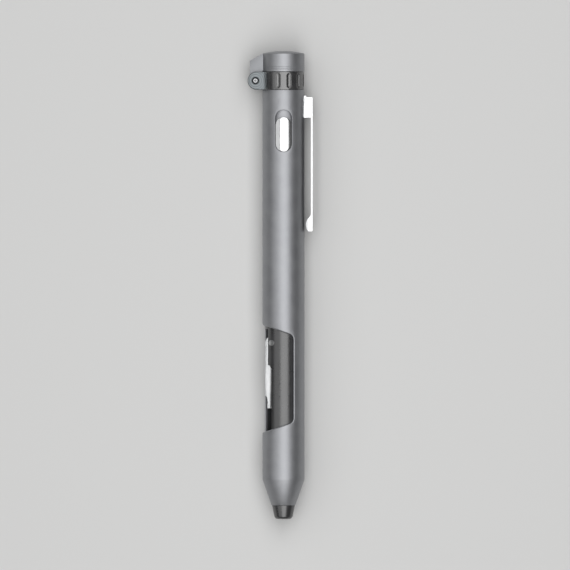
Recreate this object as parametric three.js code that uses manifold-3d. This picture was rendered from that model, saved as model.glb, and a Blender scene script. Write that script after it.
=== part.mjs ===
// A multi tool pen lying on its back, in millimetres. It is a twist-action ballpoint with a torch
// under a hinged cap, a slide switch, a sprung pocket clip and three tools that fold into a bay.
// The pen's axis runs along +Y from the writing tip to the cap, the clip is on the +X side, and
// the switch looks up along +Z. Angles round the pen start at +Z and grow towards +X.
import * as THREE from "three";
import { mergeVertices } from "three/addons/utils/BufferGeometryUtils.js";
import Module from "manifold-3d";

const wasm = await Module();
wasm.setup();

// Fits shared by the whole pen
const runningGap = 0.05;
const looseGap = 0.1;
const endGap = 0.15;
const overrun = 2;
const barrelFacets = 48;
const ringFacets = 36;
const rodFacets = 20;
const pinFacets = 12;
const wireFacets = 6;
const filletSteps = 4;

// Barrel and writing tip
const penLength = 150;
const barrelWall = 0.95;
const barrelChamfer = 0.15;
const noseTipLength = 4.4;
const noseTipTopRadius = 3.78;
const noseTipFootRadius = 2.76;
const noseTipRounding = 1.1;
const noseTipBoreRadius = 1;
const noseTipBoreLength = 1.2;
const noseTipTaper = 0.5;
const noseSpigotRadius = 2.7;
const noseSpigotLength = 5.6;
const noseSocketRoom = 0.3;
const coneLength = 8.3;
const coneFootRadius = 3.82;
const boreFloorRise = 1.3;
const refillPassageRadius = 1.5;

// Window in the barrel over the tool bay
const windowLength = 34;
const windowReach = 3.2;
const windowRounding = 1.9;
const windowSlopeShare = 0.294;

// Tool core, bay and tools
const coreRefillRadius = 1.4;
const coreTopRise = 4;
const coreChamfer = 0.3;
const bayFloorWall = 0.35;
const bayHalfDepth = 2.9;
const bayBottomDrop = 0.5;
const bayTopDrop = 1.1;
const toolPivotDrop = 4.4;
const toolHeelRadius = 2;
const toolHeelGap = 0.15;
const toolTipGap = 8;
const reliefReach = 3.85;
const reliefLength = 22;
const reliefRounding = 1.5;
const toolEdgeReach = 1.9;
const toolSpineReach = 2.05;
const toolPinRadius = 0.9;
const toolPlate = 1;
const washerRadius = 1.8;
const washerThickness = 0.3;
const driverHalfThickness = 1.3;
const bladeBevelWidth = 2.3;
const bladeEdgeHalf = 0.06;
const bladeRicasso = 5;
const nailNickLength = 5;
const nailNickWidth = 0.6;
const nailNickDepth = 0.3;
const nailNickInset = 0.5;
const fileTipLength = 3.4;
const fileTipHalfWidth = 1.25;
const fileTipHalfThickness = 0.28;
const fileGroovePitch = 0.9;
const fileGrooveDepth = 0.16;
const fileGrooveInset = 0.35;
const fileGroovedFrom = 5.5;
const driverShankRadius = 1.2;
const driverPointRadius = 0.45;
const driverPointLength = 1.9;
const driverFluteLength = 2.6;
const driverFluteRadius = 0.62;
const driverFluteOffset = 0.92;

// Twist action
const writingTravel = 5;
const twistTurn = Math.PI;
const refillInset = 0.8;
const refillLength = 70;
const refillCover = 0.5;
const refillRadius = 1.175;
const refillWall = 0.3;
const refillPointRadius = 0.35;
const refillPointLength = 2.8;
const refillNeckRadius = 0.78;
const refillNeckTop = 6;
const refillCollarTop = 7.2;
const refillPlugLength = 2;
const stemRadius = 1.9;
const stemRoom = 0.3;
const carrierLength = 7.5;
const carrierPinRise = 5.2;
const carrierPinRadius = 0.6;
const carrierPinInset = 1;
const slotGap = 0.13;
const sleeveWall = 1.1;
const sleeveLipThickness = 1.6;
const camWall = 1.1;
const camPlate = 1.8;
const camHeadroom = 1;
const shaftRadius = 1.5;
const shaftHoleGap = 0.25;
const shaftSquareRadius = 1.25;
const shaftSquareLength = 0.8;

// Turning head with its ribbed band
const capHeight = 6.5;
const capGap = 0.1;
const bandHeight = 5.75;
const bandInset = 0.15;
const bandChamfer = 0.12;
const spigotLength = 4;
const spigotWall = 1;
const ribRecessCount = 12;
const ribRecessHalfWidth = 0.75;
const ribRecessHeight = 4.6;
const ribRecessDepth = 0.34;
const ringWidth = 0.6;
const ringThickness = 0.45;
const ringGrooveHeight = 0.6;
const ringGrooveDrop = 1;
const ringGrooveDepth = 0.35;
const ringBreakAngle = 0.35;

// Torch inside the head
const cellRadius = 3.95;
const cellHeight = 3.6;
const cellCount = 3;
const cellGap = 0.15;
const cellChamfer = 0.3;
const batteryTubeWall = 0.6;
const batteryTubeFloor = 0.9;
const batterySpringHeight = 2.45;
const batterySpringWire = 0.2;
const batterySpringFootRadius = 3;
const batterySpringTopRadius = 1.5;
const batterySpringTurns = 3;
const boardThickness = 0.8;
const boardContactHeight = 0.7;
const boardContactRadius = 1.2;
const boardSeat = 0.4;
const ledRadius = 1.45;
const ledFlangeRadius = 1.62;
const ledFlangeHeight = 0.4;
const ledHeight = 2.7;
const reflectorThroatRadius = 1.8;
const reflectorRim = 0.55;
const reflectorHeight = 3.5;
const lensFlange = 0.8;
const lensDomeInset = 0.15;
const lensDomeHeight = 0.85;
const bezelWidth = 0.75;
const bezelOverlap = 0.3;
const bezelFlangeHeight = 0.9;
const bezelSkirt = 0.5;

// Hinge of the flip cap
const pocketWall = 0.8;
const earNoseInset = 0.35;
const earHalfDepth = 4.2;
const earSlotHalfDepth = 1.75;
const earInnerRounding = 0.9;
const saddleWidth = 0.8;
const bracketStudRadius = 0.6;
const bracketStudLength = 0.65;
const bracketStudSpread = 2.6;
const hingePinRadius = 0.75;
const hingeSinkRadius = 1.18;
const hingeSinkDepth = 0.55;
const hingeDimpleRadius = 0.28;
const hingeDimpleDepth = 0.25;
const knuckleRadius = 2.45;
const knuckleHalfDepth = 1.6;
const knuckleClear = 0.45;

// Flip cap
const capChamfer = 0.2;
const capShoulder = 0.12;
const capDomeRise = 0.85;
const capFlatRadius = 2.4;
const capHollowClear = 0.4;
const capHollowDepth = 3.1;
const capBlockOverhang = 1.8;
const capBlockSink = 0.75;
const capBlockSide = 3.5;
const capBlockTopDrop = 0.8;
const capBlockClear = 0.6;

// Light switch
const switchTravel = 2.2;
const switchSlotLength = 13.5;
const switchSlotHalfWidth = 2.7;
const buttonLength = 11;
const buttonRise = 0.65;
const buttonCrownRadius = 6;
const buttonLengthCrown = 26;
const buttonPegRadius = 0.6;
const buttonPegLength = 0.7;
const buttonPegSpread = 3.2;
const carrierPlateHalfAngle = 0.62;
const switchFlange = 1.5;
const contactThickness = 0.4;
const contactInnerRadius = 1.9;
const contactOuterRadius = 3.3;

// Pocket clip
const clipFlatDepth = 0.45;
const clipFootDrop = 0.25;
const clipFootLength = 7.1;
const clipFootThickness = 1.06;
const clipHalfWidth = 2.2;
const clipStudRadius = 0.7;
const clipStudInset = 1.25;
const clipArmRise = 2;
const clipArmThickness = 0.62;
const clipArmTopDrop = 0.5;
const clipCheekLength = 6.5;
const clipCheekThickness = 0.7;
const clipCheekClear = 0.1;
const clipCheekSideGap = 0.1;
const clipPivotDrop = 3.85;
const clipPivotRise = 0.64;
const clipPinRadius = 0.35;
const clipLugRadius = 0.64;
const clipLugThickness = 0.62;
const clipHeelRelief = 0.36;
const clipTipDrop = 43;
const clipFinLength = 5.6;
const clipFinInward = 2.1;
const clipFinCrestRise = 2.5;
const clipFinCrestRounding = 3.1;
const clipFinEndInward = 0.88;
const clipSpringRadius = 0.49;
const clipSpringWire = 0.1;
const clipSpringTurns = 2.5;
const clipSpringHalfDepth = 0.55;
const clipSpringLeg = 0.85;

// Places along the pen, from the writing tip
const coneTop = noseTipLength + coneLength;
const boreFloor = coneTop + boreFloorRise;
const carrierBottom = refillInset + refillLength + refillCover;
const carrierTop = carrierBottom + carrierLength;
const carrierPinY = carrierBottom + carrierPinRise;
const coreTop = carrierBottom - stemRoom - writingTravel;
const windowTop = coreTop - coreTopRise;
const windowBottom = windowTop - windowLength;
const capBottom = penLength - capHeight;
const headBottom = capBottom - capGap - bandHeight;
const barrelTop = headBottom - runningGap;
const spigotBottom = headBottom - spigotLength;
const bayBottom = windowBottom - bayBottomDrop;
const bayTop = windowTop - bayTopDrop;
const toolPivotY = bayTop - toolPivotDrop;
const toolLength = toolPivotY - bayBottom - toolTipGap;
const stemBottom = bayTop + bayFloorWall + stemRoom + writingTravel;
const camBottom = coreTop + endGap;
const camTop = carrierTop + camHeadroom + camPlate;
const sleeveLip = camTop + endGap;
const sleeveTop = sleeveLip + sleeveLipThickness;
const cellsHeight = cellCount * cellHeight;
const batteryTubeLength = boardContactHeight + cellsHeight + batterySpringHeight + batteryTubeFloor;
const batteryTubeBottom = headBottom - batteryTubeLength;
const ringGrooveTop = barrelTop - ringGrooveDrop;
const ringGrooveBottom = ringGrooveTop - ringGrooveHeight;
const switchSlotTop = spigotBottom - switchTravel - endGap - looseGap;
const switchSlotBottom = switchSlotTop - switchSlotLength;
const contactTop = batteryTubeBottom - switchTravel - looseGap;
const clipFootTop = ringGrooveBottom - clipFootDrop;
const clipFootBottom = clipFootTop - clipFootLength;
const clipPivotY = clipFootTop - clipPivotDrop;

// Radii that follow from the fits
const batteryTubeBore = cellRadius + cellGap;
const batteryTubeRadius = batteryTubeBore + batteryTubeWall;
const coreRadius = batteryTubeRadius + runningGap + spigotWall;
const boreRadius = coreRadius + runningGap;
const barrelRadius = boreRadius + barrelWall;
const bandRadius = barrelRadius - bandInset;
const torchBoreRadius = batteryTubeBore + boardSeat;
const reflectorMouthRadius = torchBoreRadius - reflectorRim;
const bezelBoreRadius = torchBoreRadius - bezelWidth;
const bezelFlangeRadius = torchBoreRadius + bezelOverlap;
const lensDomeRadius = bezelBoreRadius - lensDomeInset;
const capHollowRadius = bezelFlangeRadius + capHollowClear;
const earInnerReach = torchBoreRadius + pocketWall;
const hingeReach = earInnerReach + saddleWidth + knuckleClear + knuckleRadius;
const earReach = hingeReach - earNoseInset;
const capBlockReach = hingeReach + capBlockOverhang;
const capBlockInner = barrelRadius - capBlockSink;
const bayFloor = coreRefillRadius + bayFloorWall;
const toolPivotX = -(bayFloor + toolHeelRadius + toolHeelGap);
const sleeveBore = coreRadius - sleeveWall;
const camRadius = sleeveBore - runningGap;
const camBore = camRadius - camWall;
const carrierRadius = camBore - runningGap;
const ringBore = coreRadius - ringGrooveDepth + runningGap;
const ringRadius = ringBore + ringWidth;
const clipFlat = barrelRadius - clipFlatDepth;
const clipFootHalfWidth = clipHalfWidth - clipCheekThickness - clipCheekSideGap;
const clipFootFace = clipFlat + clipFootThickness;
const clipPivotX = clipFootFace + clipPivotRise;
const clipArmReach = clipFootFace + clipArmRise;
const clipArmInner = clipArmReach - clipArmThickness;

// Finishes
function finish(colour, roughness, metalness) {
  return new THREE.MeshStandardMaterial({ color: colour, roughness, metalness });
}
const satinAluminium = finish(0x9a9ba0, 0.38, 1);
const blackPlastic = finish(0x16171a, 0.42, 0);
const polishedSteel = finish(0xe4e5e8, 0.12, 1);
const brushedSteel = finish(0xb4b8ba, 0.34, 1);
const hingeGrey = finish(0x949b9e, 0.45, 1);
const brass = finish(0xc9a14a, 0.3, 1);
const greenBoard = finish(0x1f5b3a, 0.6, 0);
const clearPlastic = finish(0xe9eef2, 0.08, 0);
const mirrorChrome = finish(0xf0f1f3, 0.06, 1);
const inkTube = finish(0xd8cfae, 0.3, 0.8);

// A closed geometry as a solid, with its faces turned outwards
function solidOf(geometry) {
  const bare = geometry.clone();
  bare.deleteAttribute("normal");
  bare.deleteAttribute("uv");
  const merged = mergeVertices(bare);
  const index = merged.index.array;
  const kept = [];
  for (let i = 0; i < index.length; i += 3) {
    const [a, b, c] = index.subarray(i, i + 3);
    if (a !== b && b !== c && c !== a) kept.push(a, b, c);
  }
  const build = (corners) =>
    new wasm.Manifold(
      new wasm.Mesh({
        numProp: 3,
        vertProperties: merged.attributes.position.array,
        triVerts: new Uint32Array(corners),
      }),
    );
  const made = build(kept);
  return made.volume() > 0 ? made : build(kept.reverse());
}

// A named mesh of a solid, ready to be placed in a group
function piece(name, solid, material) {
  const { vertProperties, triVerts } = solid.getMesh();
  const geometry = new THREE.BufferGeometry();
  geometry.setAttribute("position", new THREE.BufferAttribute(vertProperties, 3));
  geometry.setIndex(new THREE.BufferAttribute(triVerts, 1));
  geometry.computeVertexNormals();
  const mesh = new THREE.Mesh(geometry, material);
  mesh.name = name;
  return mesh;
}

// A profile of [radius, y] points turned about the Y axis, with a flat facing down
function turned(profile, facets) {
  const points = profile.map(([radius, y]) => new THREE.Vector2(radius, y));
  if (points[0].x > 0) points.push(points[0].clone());
  return solidOf(new THREE.LatheGeometry(points, facets, Math.PI / facets));
}

function tube(bore, radius, from, to, facets) {
  const profile = [[bore, from], [radius, from], [radius, to], [bore, to]];
  return turned(profile, facets);
}

function rod(radius, from, to, facets) {
  return turned([[0, from], [radius, from], [radius, to], [0, to]], facets);
}

function arc(x, y, radius, from, to, steps) {
  return Array.from({ length: steps + 1 }, (_, i) => {
    const angle = from + ((to - from) * i) / steps;
    return new THREE.Vector2(x + radius * Math.cos(angle), y + radius * Math.sin(angle));
  });
}

function circle(x, y, radius, facets) {
  const halfFacet = Math.PI / facets;
  return arc(x, y, radius, halfFacet, 2 * Math.PI - halfFacet, facets - 1);
}

function rectangle(left, right, low, high) {
  return [[left, low], [right, low], [right, high], [left, high]].map(
    ([x, y]) => new THREE.Vector2(x, y),
  );
}

// An outline of [x, y, radius] corners, each rounded to its radius where it has one
function rounded(corners) {
  return corners.flatMap(([x, y, radius = 0], i) => {
    const corner = new THREE.Vector2(x, y);
    if (!radius) return [corner];
    const before = new THREE.Vector2(...corners.at(i - 1)).sub(corner).normalize();
    const after = new THREE.Vector2(...corners[(i + 1) % corners.length]).sub(corner).normalize();
    const half = Math.acos(before.dot(after)) / 2;
    const middle = before.clone().add(after).normalize();
    const centre = corner.clone().addScaledVector(middle, radius / Math.sin(half));
    const start = corner.clone().addScaledVector(before, radius / Math.tan(half)).sub(centre);
    const end = corner.clone().addScaledVector(after, radius / Math.tan(half)).sub(centre);
    const turn = Math.sign(start.cross(end)) * (Math.PI - 2 * half);
    return Array.from({ length: filletSteps + 1 }, (_, k) =>
      start.clone().rotateAround(new THREE.Vector2(), (turn * k) / filletSteps).add(centre),
    );
  });
}

// Points on a curve that leaves one corner and arrives at another, drawn towards a third
function sweep(from, towards, to, steps) {
  const curve = new THREE.QuadraticBezierCurve(
    new THREE.Vector2(...from),
    new THREE.Vector2(...towards),
    new THREE.Vector2(...to),
  );
  return curve.getPoints(steps);
}

function extrusion(outline, depth) {
  return new THREE.ExtrudeGeometry(new THREE.Shape(outline), { depth, bevelEnabled: false });
}

// An outline of (x, y) points given thickness along Z
function plateZ(outline, from, to) {
  return solidOf(extrusion(outline, to - from).translate(0, 0, from));
}

// An outline of (x, z) points given thickness along Y
function plateY(outline, from, to) {
  return solidOf(extrusion(outline, to - from).rotateX(Math.PI / 2).translate(0, to, 0));
}

// An outline of (y, z) points given thickness along X
function plateX(outline, from, to) {
  const turn = new THREE.Matrix4().makeBasis(
    new THREE.Vector3(0, 1, 0),
    new THREE.Vector3(0, 0, 1),
    new THREE.Vector3(1, 0, 0),
  );
  return solidOf(extrusion(outline, to - from).applyMatrix4(turn).translate(from, 0, 0));
}

// A round wire along a path
function wire(path, radius, steps) {
  const section = new THREE.Shape(circle(0, 0, radius, wireFacets));
  const options = { steps, extrudePath: path, bevelEnabled: false };
  return solidOf(new THREE.ExtrudeGeometry(section, options));
}

// An outline between two radii and two angles, the angles measured from +Z towards +X
function sector(inner, outer, from, to, steps) {
  const quarter = Math.PI / 2;
  const outerEdge = arc(0, 0, outer, quarter - from, quarter - to, steps);
  const innerEdge = arc(0, 0, inner, quarter - to, quarter - from, steps);
  return [...outerEdge, ...innerEdge];
}

function both(half) {
  return half(-1).add(half(1));
}

// The window's outline: open past the left side, its ends sloping up to the right edge
function windowOutline() {
  const past = -(barrelRadius + overrun);
  const slope = (x) => windowSlopeShare * (x + barrelRadius);
  return rounded([
    [past, windowBottom + slope(past)],
    [windowReach, windowBottom + slope(windowReach), windowRounding],
    [windowReach, windowTop - slope(windowReach), windowRounding],
    [past, windowTop - slope(past)],
  ]);
}

function stadium(halfWidth, low, high) {
  const bottom = arc(0, low + halfWidth, halfWidth, -Math.PI, 0, rodFacets / 2);
  const top = arc(0, high - halfWidth, halfWidth, 0, Math.PI, rodFacets / 2);
  return [...bottom, ...top];
}

function clipStud(side, radius, from, to) {
  const middle = (clipFootBottom + clipFootTop) / 2;
  const reach = clipFootLength / 2 - clipStudInset;
  return plateX(circle(middle + side * reach, 0, radius, pinFacets), from, to);
}

// Barrel: one turned tube with its cone, cut for the tool window, the switch and the clip foot
function barrel() {
  const grooveRadius = ringRadius + runningGap;
  const spigotTop = noseTipLength + noseSpigotLength;
  const body = turned(
    [
      [noseSpigotRadius + runningGap, noseTipLength],
      [coneFootRadius - barrelChamfer, noseTipLength],
      [coneFootRadius, noseTipLength + barrelChamfer],
      [barrelRadius, coneTop],
      [barrelRadius, barrelTop - barrelChamfer],
      [barrelRadius - barrelChamfer, barrelTop],
      [boreRadius, barrelTop],
      [boreRadius, ringGrooveTop],
      [grooveRadius, ringGrooveTop],
      [grooveRadius, ringGrooveBottom],
      [boreRadius, ringGrooveBottom],
      [boreRadius, boreFloor],
      [refillPassageRadius, boreFloor],
      [refillPassageRadius, spigotTop + noseSocketRoom],
      [noseSpigotRadius + runningGap, spigotTop + noseSocketRoom],
    ],
    barrelFacets,
  );
  const past = barrelRadius + overrun;
  const window = plateZ(windowOutline(), -bayHalfDepth, past);
  const slot = plateZ(stadium(switchSlotHalfWidth, switchSlotBottom, switchSlotTop), 0, past);
  const clipSeat = plateX(
    rectangle(clipFootBottom - runningGap, clipFootTop + runningGap, -past, past),
    clipFlat,
    past,
  );
  const studs = both((side) => clipStud(side, clipStudRadius + runningGap, coreRadius / 2, past));
  return body.subtract(window).subtract(slot).subtract(clipSeat).subtract(studs);
}

function noseTip() {
  const spigotTop = noseTipLength + noseSpigotLength;
  const slope = (noseTipTopRadius - noseTipFootRadius) / noseTipLength;
  const shoulder = noseTipFootRadius + slope * noseTipRounding;
  const rounding = sweep(
    [noseTipFootRadius - noseTipRounding, 0],
    [noseTipFootRadius, 0],
    [shoulder, noseTipRounding],
    filletSteps,
  ).map((point) => [point.x, point.y]);
  return turned(
    [
      [noseTipBoreRadius, 0],
      ...rounding,
      [noseTipTopRadius, noseTipLength],
      [noseSpigotRadius, noseTipLength],
      [noseSpigotRadius, spigotTop],
      [refillPassageRadius, spigotTop],
      [refillPassageRadius, noseTipBoreLength + noseTipTaper],
      [noseTipBoreRadius, noseTipBoreLength],
    ],
    ringFacets,
  );
}

// Tool core: a moulded plug with the refill's passage, the bay open to the left, and a relief in
// the wall before the tools that lets a fingernail reach them
function toolCore() {
  const stemPocket = bayTop + bayFloorWall;
  const body = turned(
    [
      [coreRefillRadius, boreFloor],
      [coreRadius - coreChamfer, boreFloor],
      [coreRadius, boreFloor + coreChamfer],
      [coreRadius, coreTop],
      [stemRadius + looseGap, coreTop],
      [stemRadius + looseGap, stemPocket],
      [coreRefillRadius, stemPocket],
    ],
    ringFacets,
  );
  const bay = plateZ(
    rectangle(-(coreRadius + overrun), -bayFloor, bayBottom, bayTop),
    -bayHalfDepth,
    bayHalfDepth,
  );
  const past = coreRadius + overrun;
  const relief = plateZ(
    rounded([
      [-past, bayBottom],
      [-reliefReach, bayBottom],
      [-reliefReach, bayBottom + reliefLength, reliefRounding],
      [-past, bayBottom + reliefLength],
    ]),
    0,
    past,
  );
  const hole = circle(toolPivotX, toolPivotY, toolPinRadius + runningGap, pinFacets);
  return body.subtract(bay).subtract(relief).subtract(plateZ(hole, -past, past));
}

// The tools' pivot, its ends following the round of the core
function toolPin() {
  const pin = plateZ(circle(0, 0, toolPinRadius, pinFacets), -coreRadius, coreRadius);
  const half = toolPivotDrop / 2;
  const round = rod(coreRadius, -half, half, ringFacets).translate(-toolPivotX, 0, 0);
  return pin.intersect(round);
}

const washerInner = driverHalfThickness + runningGap;
const plateInner = washerInner + washerThickness + runningGap;

function toolWasher(side) {
  const near = side * washerInner;
  const far = side * (washerInner + washerThickness);
  const [low, high] = [Math.min(near, far), Math.max(near, far)];
  const disc = plateZ(circle(0, 0, washerRadius, rodFacets), low, high);
  return disc.subtract(pivotHole());
}

function pivotHole() {
  const hole = circle(0, 0, toolPinRadius + runningGap, pinFacets);
  return plateZ(hole, -coreRadius, coreRadius);
}

// The heel that every tool turns on, drawn from the spine round to the cutting side
function heel() {
  const start = Math.PI - Math.acos(Math.min(1, toolHeelRadius / toolSpineReach));
  const end = Math.acos(toolEdgeReach / toolHeelRadius);
  return arc(0, 0, toolHeelRadius, start, -end, rodFacets / 2);
}

// Knife: drop-point blade, edge towards the bay floor, ground to a bevel on both sides
function knife() {
  const bellyShare = 0.6;
  const bellyFullShare = 0.92;
  const clipPointShare = 0.68;
  const tipShare = 0.35;
  const tip = [-toolSpineReach * tipShare, -toolLength];
  const belly = sweep(
    [toolEdgeReach, -toolLength * bellyShare],
    [toolEdgeReach, -toolLength * bellyFullShare],
    tip,
    rodFacets / 4,
  );
  const spine = [
    new THREE.Vector2(-toolSpineReach, -toolLength * clipPointShare),
    new THREE.Vector2(-toolSpineReach, -toolHeelRadius / 2),
  ];
  const top = plateInner + toolPlate;
  const blank = plateZ([...heel(), ...belly, ...spine], plateInner, top);
  const middle = (plateInner + top) / 2;
  const bevelStart = toolEdgeReach - bladeBevelWidth;
  const ground = both((side) =>
    plateY(
      [
        new THREE.Vector2(bevelStart, middle + (side * toolPlate) / 2),
        new THREE.Vector2(toolEdgeReach, middle + side * bladeEdgeHalf),
        new THREE.Vector2(toolEdgeReach + overrun, middle + side * bladeEdgeHalf),
        new THREE.Vector2(toolEdgeReach + overrun, middle + side * toolPlate),
        new THREE.Vector2(bevelStart, middle + side * toolPlate),
      ],
      -toolLength - overrun,
      -bladeRicasso,
    ),
  );
  const nickLow = -bladeRicasso - nailNickLength;
  const nickLeft = nailNickInset - toolSpineReach;
  const nick = plateZ(
    rectangle(nickLeft, nickLeft + nailNickWidth, nickLow, -bladeRicasso),
    top - nailNickDepth,
    top + overrun,
  );
  return blank.subtract(ground).subtract(nick).subtract(pivotHole());
}

// Nail file: a toothed blade whose end narrows to a flat screwdriver
function nailFile() {
  const bottom = -plateInner - toolPlate;
  const shoulder = -toolLength + fileTipLength;
  const outline = [
    ...heel(),
    ...rounded([
      [toolEdgeReach, shoulder + toolEdgeReach - fileTipHalfWidth],
      [fileTipHalfWidth, shoulder],
      [fileTipHalfWidth, -toolLength],
      [-fileTipHalfWidth, -toolLength],
      [-fileTipHalfWidth, shoulder],
      [-toolSpineReach, shoulder + toolSpineReach - fileTipHalfWidth],
      [-toolSpineReach, -toolHeelRadius / 2],
    ]),
  ];
  let blade = plateZ(outline, bottom, -plateInner);
  const middle = bottom + toolPlate / 2;
  const past = toolSpineReach + overrun;
  const wedges = both((side) =>
    plateX(
      [
        new THREE.Vector2(shoulder, middle + (side * toolPlate) / 2),
        new THREE.Vector2(-toolLength, middle + side * fileTipHalfThickness),
        new THREE.Vector2(-toolLength - overrun, middle + side * fileTipHalfThickness),
        new THREE.Vector2(-toolLength - overrun, middle + side * toolPlate),
        new THREE.Vector2(shoulder, middle + side * toolPlate),
      ],
      -past,
      past,
    ),
  );
  blade = blade.subtract(wedges);
  const toothedEnd = shoulder + fileGroovePitch * 2;
  for (let y = -fileGroovedFrom; y > toothedEnd; y -= fileGroovePitch) {
    const groove = plateX(
      [
        new THREE.Vector2(y - fileGrooveDepth, bottom - fileGrooveDepth),
        new THREE.Vector2(y + fileGrooveDepth, bottom - fileGrooveDepth),
        new THREE.Vector2(y, bottom + fileGrooveDepth),
      ],
      fileGrooveInset - toolSpineReach,
      toolEdgeReach - fileGrooveInset,
    );
    blade = blade.subtract(groove);
  }
  return blade.subtract(pivotHole());
}

// Driver: a round shank on a disc heel, its point cut by four flutes
function phillipsDriver() {
  const disc = plateZ(
    circle(0, 0, toolHeelRadius, rodFacets),
    -driverHalfThickness,
    driverHalfThickness,
  );
  const point = -toolLength + driverPointLength;
  const shank = turned(
    [
      [0, -toolLength],
      [driverPointRadius, -toolLength],
      [driverShankRadius, point],
      [driverShankRadius, 0],
      [0, 0],
    ],
    rodFacets,
  );
  const flute = rod(driverFluteRadius, -toolLength - overrun, driverFluteLength - toolLength, 4);
  let blade = disc.add(shank);
  for (const [x, z] of [[1, 1], [1, -1], [-1, -1], [-1, 1]]) {
    blade = blade.subtract(flute.translate(x * driverFluteOffset, 0, z * driverFluteOffset));
  }
  return blade.subtract(pivotHole());
}

// A pin slot's cutter that climbs round the pen, from inside one radius to past another
function helicalCutter(inner, outer, halfHeight, top, drop, turn, margin) {
  const steps = rodFacets;
  const positions = [];
  for (let i = 0; i <= steps; i += 1) {
    const share = (i / steps) * (1 + 2 * margin) - margin;
    const angle = Math.PI / 2 - turn * share;
    const y = top - drop * share;
    const corners = [[inner, -1], [outer, -1], [outer, 1], [inner, 1]];
    for (const [radius, side] of corners) {
      positions.push(radius * Math.sin(angle), y + side * halfHeight, radius * Math.cos(angle));
    }
  }
  const index = [0, 1, 2, 0, 2, 3];
  const last = steps * 4;
  index.push(last, last + 2, last + 1, last, last + 3, last + 2);
  for (let i = 0; i < steps; i += 1) {
    for (let k = 0; k < 4; k += 1) {
      const a = i * 4 + k;
      const b = i * 4 + ((k + 1) % 4);
      index.push(a, a + 4, b, b, a + 4, b + 4);
    }
  }
  const geometry = new THREE.BufferGeometry();
  geometry.setAttribute("position", new THREE.BufferAttribute(new Float32Array(positions), 3));
  geometry.setIndex(index);
  return solidOf(geometry);
}

// Cam tube: its helical slot drives the refill's pin down as the head turns
function camTube() {
  const body = turned(
    [
      [camBore, camBottom],
      [camRadius, camBottom],
      [camRadius, camTop],
      [0, camTop],
      [0, camTop - camPlate],
      [camBore, camTop - camPlate],
    ],
    ringFacets,
  );
  const slope = writingTravel / (twistTurn * camBore);
  const halfHeight = (carrierPinRadius + slotGap) * Math.hypot(1, slope);
  const margin = (carrierPinRadius + slotGap) / (twistTurn * camBore);
  const slot = helicalCutter(
    camBore - camWall,
    camRadius + camWall,
    halfHeight,
    carrierPinY,
    writingTravel,
    twistTurn,
    margin,
  );
  return body.subtract(slot).subtract(shaftSquare(camTop, runningGap));
}

// The square at a shaft end, or its socket when it is given a gap
function shaftSquare(from, gap) {
  const radius = shaftSquareRadius + gap;
  return rod(radius, from - shaftSquareLength - gap, from + shaftSquareLength + gap, 4);
}

function driveShaft() {
  return rod(shaftRadius, camTop, batteryTubeBottom, rodFacets)
    .add(shaftSquare(camTop, 0))
    .add(shaftSquare(batteryTubeBottom, 0));
}

// Guide sleeve: holds the pin to a straight path and closes over the top of the cam
function guideSleeve() {
  const body = turned(
    [
      [sleeveBore, coreTop],
      [coreRadius, coreTop],
      [coreRadius, sleeveTop],
      [shaftRadius + shaftHoleGap, sleeveTop],
      [shaftRadius + shaftHoleGap, sleeveLip],
      [sleeveBore, sleeveLip],
    ],
    ringFacets,
  );
  const half = carrierPinRadius + slotGap;
  const slot = plateX(
    rectangle(carrierPinY - writingTravel - half, carrierPinY + half, -half, half),
    0,
    coreRadius + overrun,
  );
  return body.subtract(slot);
}

function retainingRing() {
  const start = ringBreakAngle - Math.PI;
  const outline = sector(ringBore, ringRadius, start, -start, ringFacets);
  const low = ringGrooveBottom + (ringGrooveHeight - ringThickness) / 2;
  return plateY(outline, low, low + ringThickness);
}

// Head collar, measured from the seam above the barrel: spigot below, ribbed band above
function headCollar() {
  const grooveRadius = coreRadius - ringGrooveDepth;
  const grooveTop = ringGrooveTop - headBottom;
  const body = turned(
    [
      [batteryTubeRadius + runningGap, -spigotLength],
      [coreRadius, -spigotLength],
      [coreRadius, grooveTop - ringGrooveHeight],
      [grooveRadius, grooveTop - ringGrooveHeight],
      [grooveRadius, grooveTop],
      [coreRadius, grooveTop],
      [coreRadius, 0],
      [bandRadius - bandChamfer, 0],
      [bandRadius, bandChamfer],
      [bandRadius, bandHeight - bandChamfer],
      [bandRadius - bandChamfer, bandHeight],
      [torchBoreRadius, bandHeight],
      [torchBoreRadius, 0],
      [batteryTubeRadius + runningGap, 0],
    ],
    ringFacets,
  );
  const past = barrelRadius + overrun;
  const pocketDepth = earHalfDepth + runningGap;
  const pocket = plateZ(
    rectangle(-past, -earInnerReach + runningGap, 0, bandHeight + overrun),
    -pocketDepth,
    pocketDepth,
  );
  const studHoles = bracketStuds(bracketStudRadius + runningGap, bracketStudLength + runningGap);
  return body.subtract(pocket).subtract(studHoles).subtract(ribRecesses());
}

// The band's upright flutes, scooped by a round-ended cutter, and left out at the hinge bracket
function ribRecesses() {
  const radius = (ribRecessHalfWidth ** 2 + ribRecessDepth ** 2) / (2 * ribRecessDepth);
  const reach = ribRecessHeight / 2 - ribRecessHalfWidth;
  const top = domed(radius, reach, radius);
  const foot = top.map(([around, y]) => [around, -y]).reverse();
  const middle = bandRadius + radius - ribRecessDepth;
  const recess = turned([...foot, ...top], rodFacets).translate(0, bandHeight / 2, middle);
  const pitch = (2 * Math.PI) / ribRecessCount;
  const pocketAngle = Math.atan2(earInnerReach, earHalfDepth);
  const cuts = [];
  for (let i = 0; i < ribRecessCount; i += 1) {
    const angle = pitch * (i + 1 / 2);
    const fromHinge = Math.abs(angle - (3 * Math.PI) / 2);
    if (fromHinge < Math.PI / 2 - pocketAngle + pitch / 2) continue;
    cuts.push(recess.rotate([0, THREE.MathUtils.radToDeg(angle), 0]));
  }
  return cuts.reduce((all, cut) => all.add(cut));
}

const hingeY = (bandHeight + runningGap) / 2;

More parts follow.
